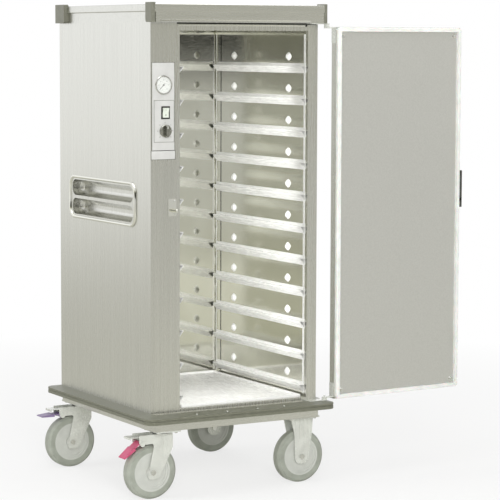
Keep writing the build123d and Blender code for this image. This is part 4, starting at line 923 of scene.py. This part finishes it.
def floor_mirror_light(tree, here, away):
    """How bright the metal sees the floor at a place on it that is so far away from the trolley."""
    depth = add(tree, "ShaderNodeSeparateXYZ", {"Vector": here}).outputs["Y"]
    sockets = {"Value": away, "From Min": BRIGHTENS_FROM, "From Max": BRIGHTENS_TO,
               "To Min": BEHIND_NEAR, "To Max": BEHIND_FAR}
    behind = add(tree, "ShaderNodeMapRange", sockets).outputs["Result"]
    sockets = {"Value": away, "From Min": DARKENS_FROM, "From Max": DARKENS_TO,
               "To Min": FRONT_NEAR, "To Max": FRONT_FAR}
    in_front = add(tree, "ShaderNodeMapRange", sockets).outputs["Result"]
    sockets = {"Value": depth, "From Min": BEHIND_ENDS, "From Max": FRONT_STARTS,
               "To Min": behind, "To Max": in_front}
    return add(tree, "ShaderNodeMapRange", sockets).outputs["Result"]


def white_floor_paint():
    """Matt white paint that keeps the trolley's shadow and fades into the white surround."""
    material = bpy.data.materials.new("white_floor_paint")
    material.use_nodes = True
    tree = material.node_tree
    tree.nodes.clear()
    ray = add(tree, "ShaderNodeLightPath").outputs
    here = add(tree, "ShaderNodeTexCoord").outputs["Object"]
    away = add(tree, "ShaderNodeVectorMath", {0: here}, operation="LENGTH").outputs["Value"]

    sockets = {"Value": away, "From Min": FADE_START, "From Max": FADE_END,
               "To Min": FLOOR_GLOW, "To Max": 1.0}
    fade = add(tree, "ShaderNodeMapRange", sockets).outputs["Result"]
    seen = add(tree, "ShaderNodeMath", {0: ray["Is Camera Ray"], 1: fade}, operation="MULTIPLY").outputs[0]
    paint = add(tree, "ShaderNodeBsdfDiffuse", {"Color": linear(FLOOR_PAINT)}).outputs[0]
    glow = add(tree, "ShaderNodeEmission", {"Color": linear(WHITE), "Strength": 1.0}).outputs[0]
    to_eye = add(tree, "ShaderNodeMixShader", {0: seen, 1: paint, 2: glow}).outputs[0]

    cools = add(tree, "ShaderNodeMapRange", {"Value": away, "From Min": COOLS_FROM, "From Max": COOLS_TO})
    sockets = {"Factor": cools.outputs["Result"], 6: linear(NEAR_PAINT), 7: linear(FAR_PAINT)}
    colour = add(tree, "ShaderNodeMix", sockets, data_type="RGBA").outputs[2]
    sockets = {"Color": colour, "Strength": floor_mirror_light(tree, here, away)}
    to_metal = add(tree, "ShaderNodeEmission", sockets).outputs[0]
    mirrored = add(tree, "ShaderNodeMath", {0: ray["Is Glossy Ray"], 1: GLOSSY_SHARE}, operation="MULTIPLY")
    floor = add(tree, "ShaderNodeMixShader", {0: mirrored.outputs[0], 1: to_eye, 2: to_metal}).outputs[0]
    add(tree, "ShaderNodeOutputMaterial", {"Surface": floor})
    return material


def studio_floor():
    """A plain pale floor that reaches the horizon."""
    mesh = bpy.data.meshes.new("studio_floor")
    corners = [(x * FLOOR_REACH, y * FLOOR_REACH, 0) for x, y in ((-1, -1), (1, -1), (1, 1), (-1, 1))]
    mesh.from_pydata(corners, [], [(0, 1, 2, 3)])
    mesh.materials.append(white_floor_paint())
    floor = bpy.data.objects.new("studio_floor", mesh)
    bpy.context.scene.collection.objects.link(floor)


def softbox(name, place, aim, size, watts, mirrored=False):
    """A large lamp at a place, turned to its aim. Unless mirrored, it leaves no patch in polished steel."""
    lamp = bpy.data.lights.new(name, "AREA")
    lamp.shape = "RECTANGLE"
    lamp.size, lamp.size_y = size
    lamp.energy = watts
    holder = bpy.data.objects.new(name, lamp)
    bpy.context.scene.collection.objects.link(holder)
    holder.location = place
    holder.rotation_euler = (Vector(aim) - Vector(place)).to_track_quat("-Z", "Y").to_euler()
    holder.visible_camera = False
    holder.visible_glossy = mirrored


studio_surround()
studio_floor()
softbox("top_softbox", place=(0.0, -0.6, 4.6), aim=(0, 0, 0.8), size=(3.6, 3.6), watts=90, mirrored=True)
softbox("camera_softbox", place=(-3.0, -6.2, 2.7), aim=(0.1, 0, 0.9), size=(2.4, 2.4), watts=290)
softbox("cavity_fill", place=(0.04, -0.35, 1.05), aim=(0.04, 0.3, 1.0), size=(0.36, 1.2), watts=3.4)
softbox("left_softbox", place=(-4.6, 1.2, 2.2), aim=(0, 0, 1.0), size=(2.4, 3.0), watts=60)


# Camera, in metres and degrees: fitted to the photograph, a long lens 8.3 m away

camera_data = bpy.data.cameras.new("photo_camera")
camera_data.lens = 154.1
camera_data.sensor_width = 36.0
camera = bpy.data.objects.new("photo_camera", camera_data)
bpy.context.scene.collection.objects.link(camera)
camera.location = (-3.8554, -7.2138, 1.6622)
camera.rotation_euler = [math.radians(a) for a in (84.458, -0.1655, -29.823)]
bpy.context.scene.camera = camera
bpy.context.scene.view_settings.view_transform = "Standard"
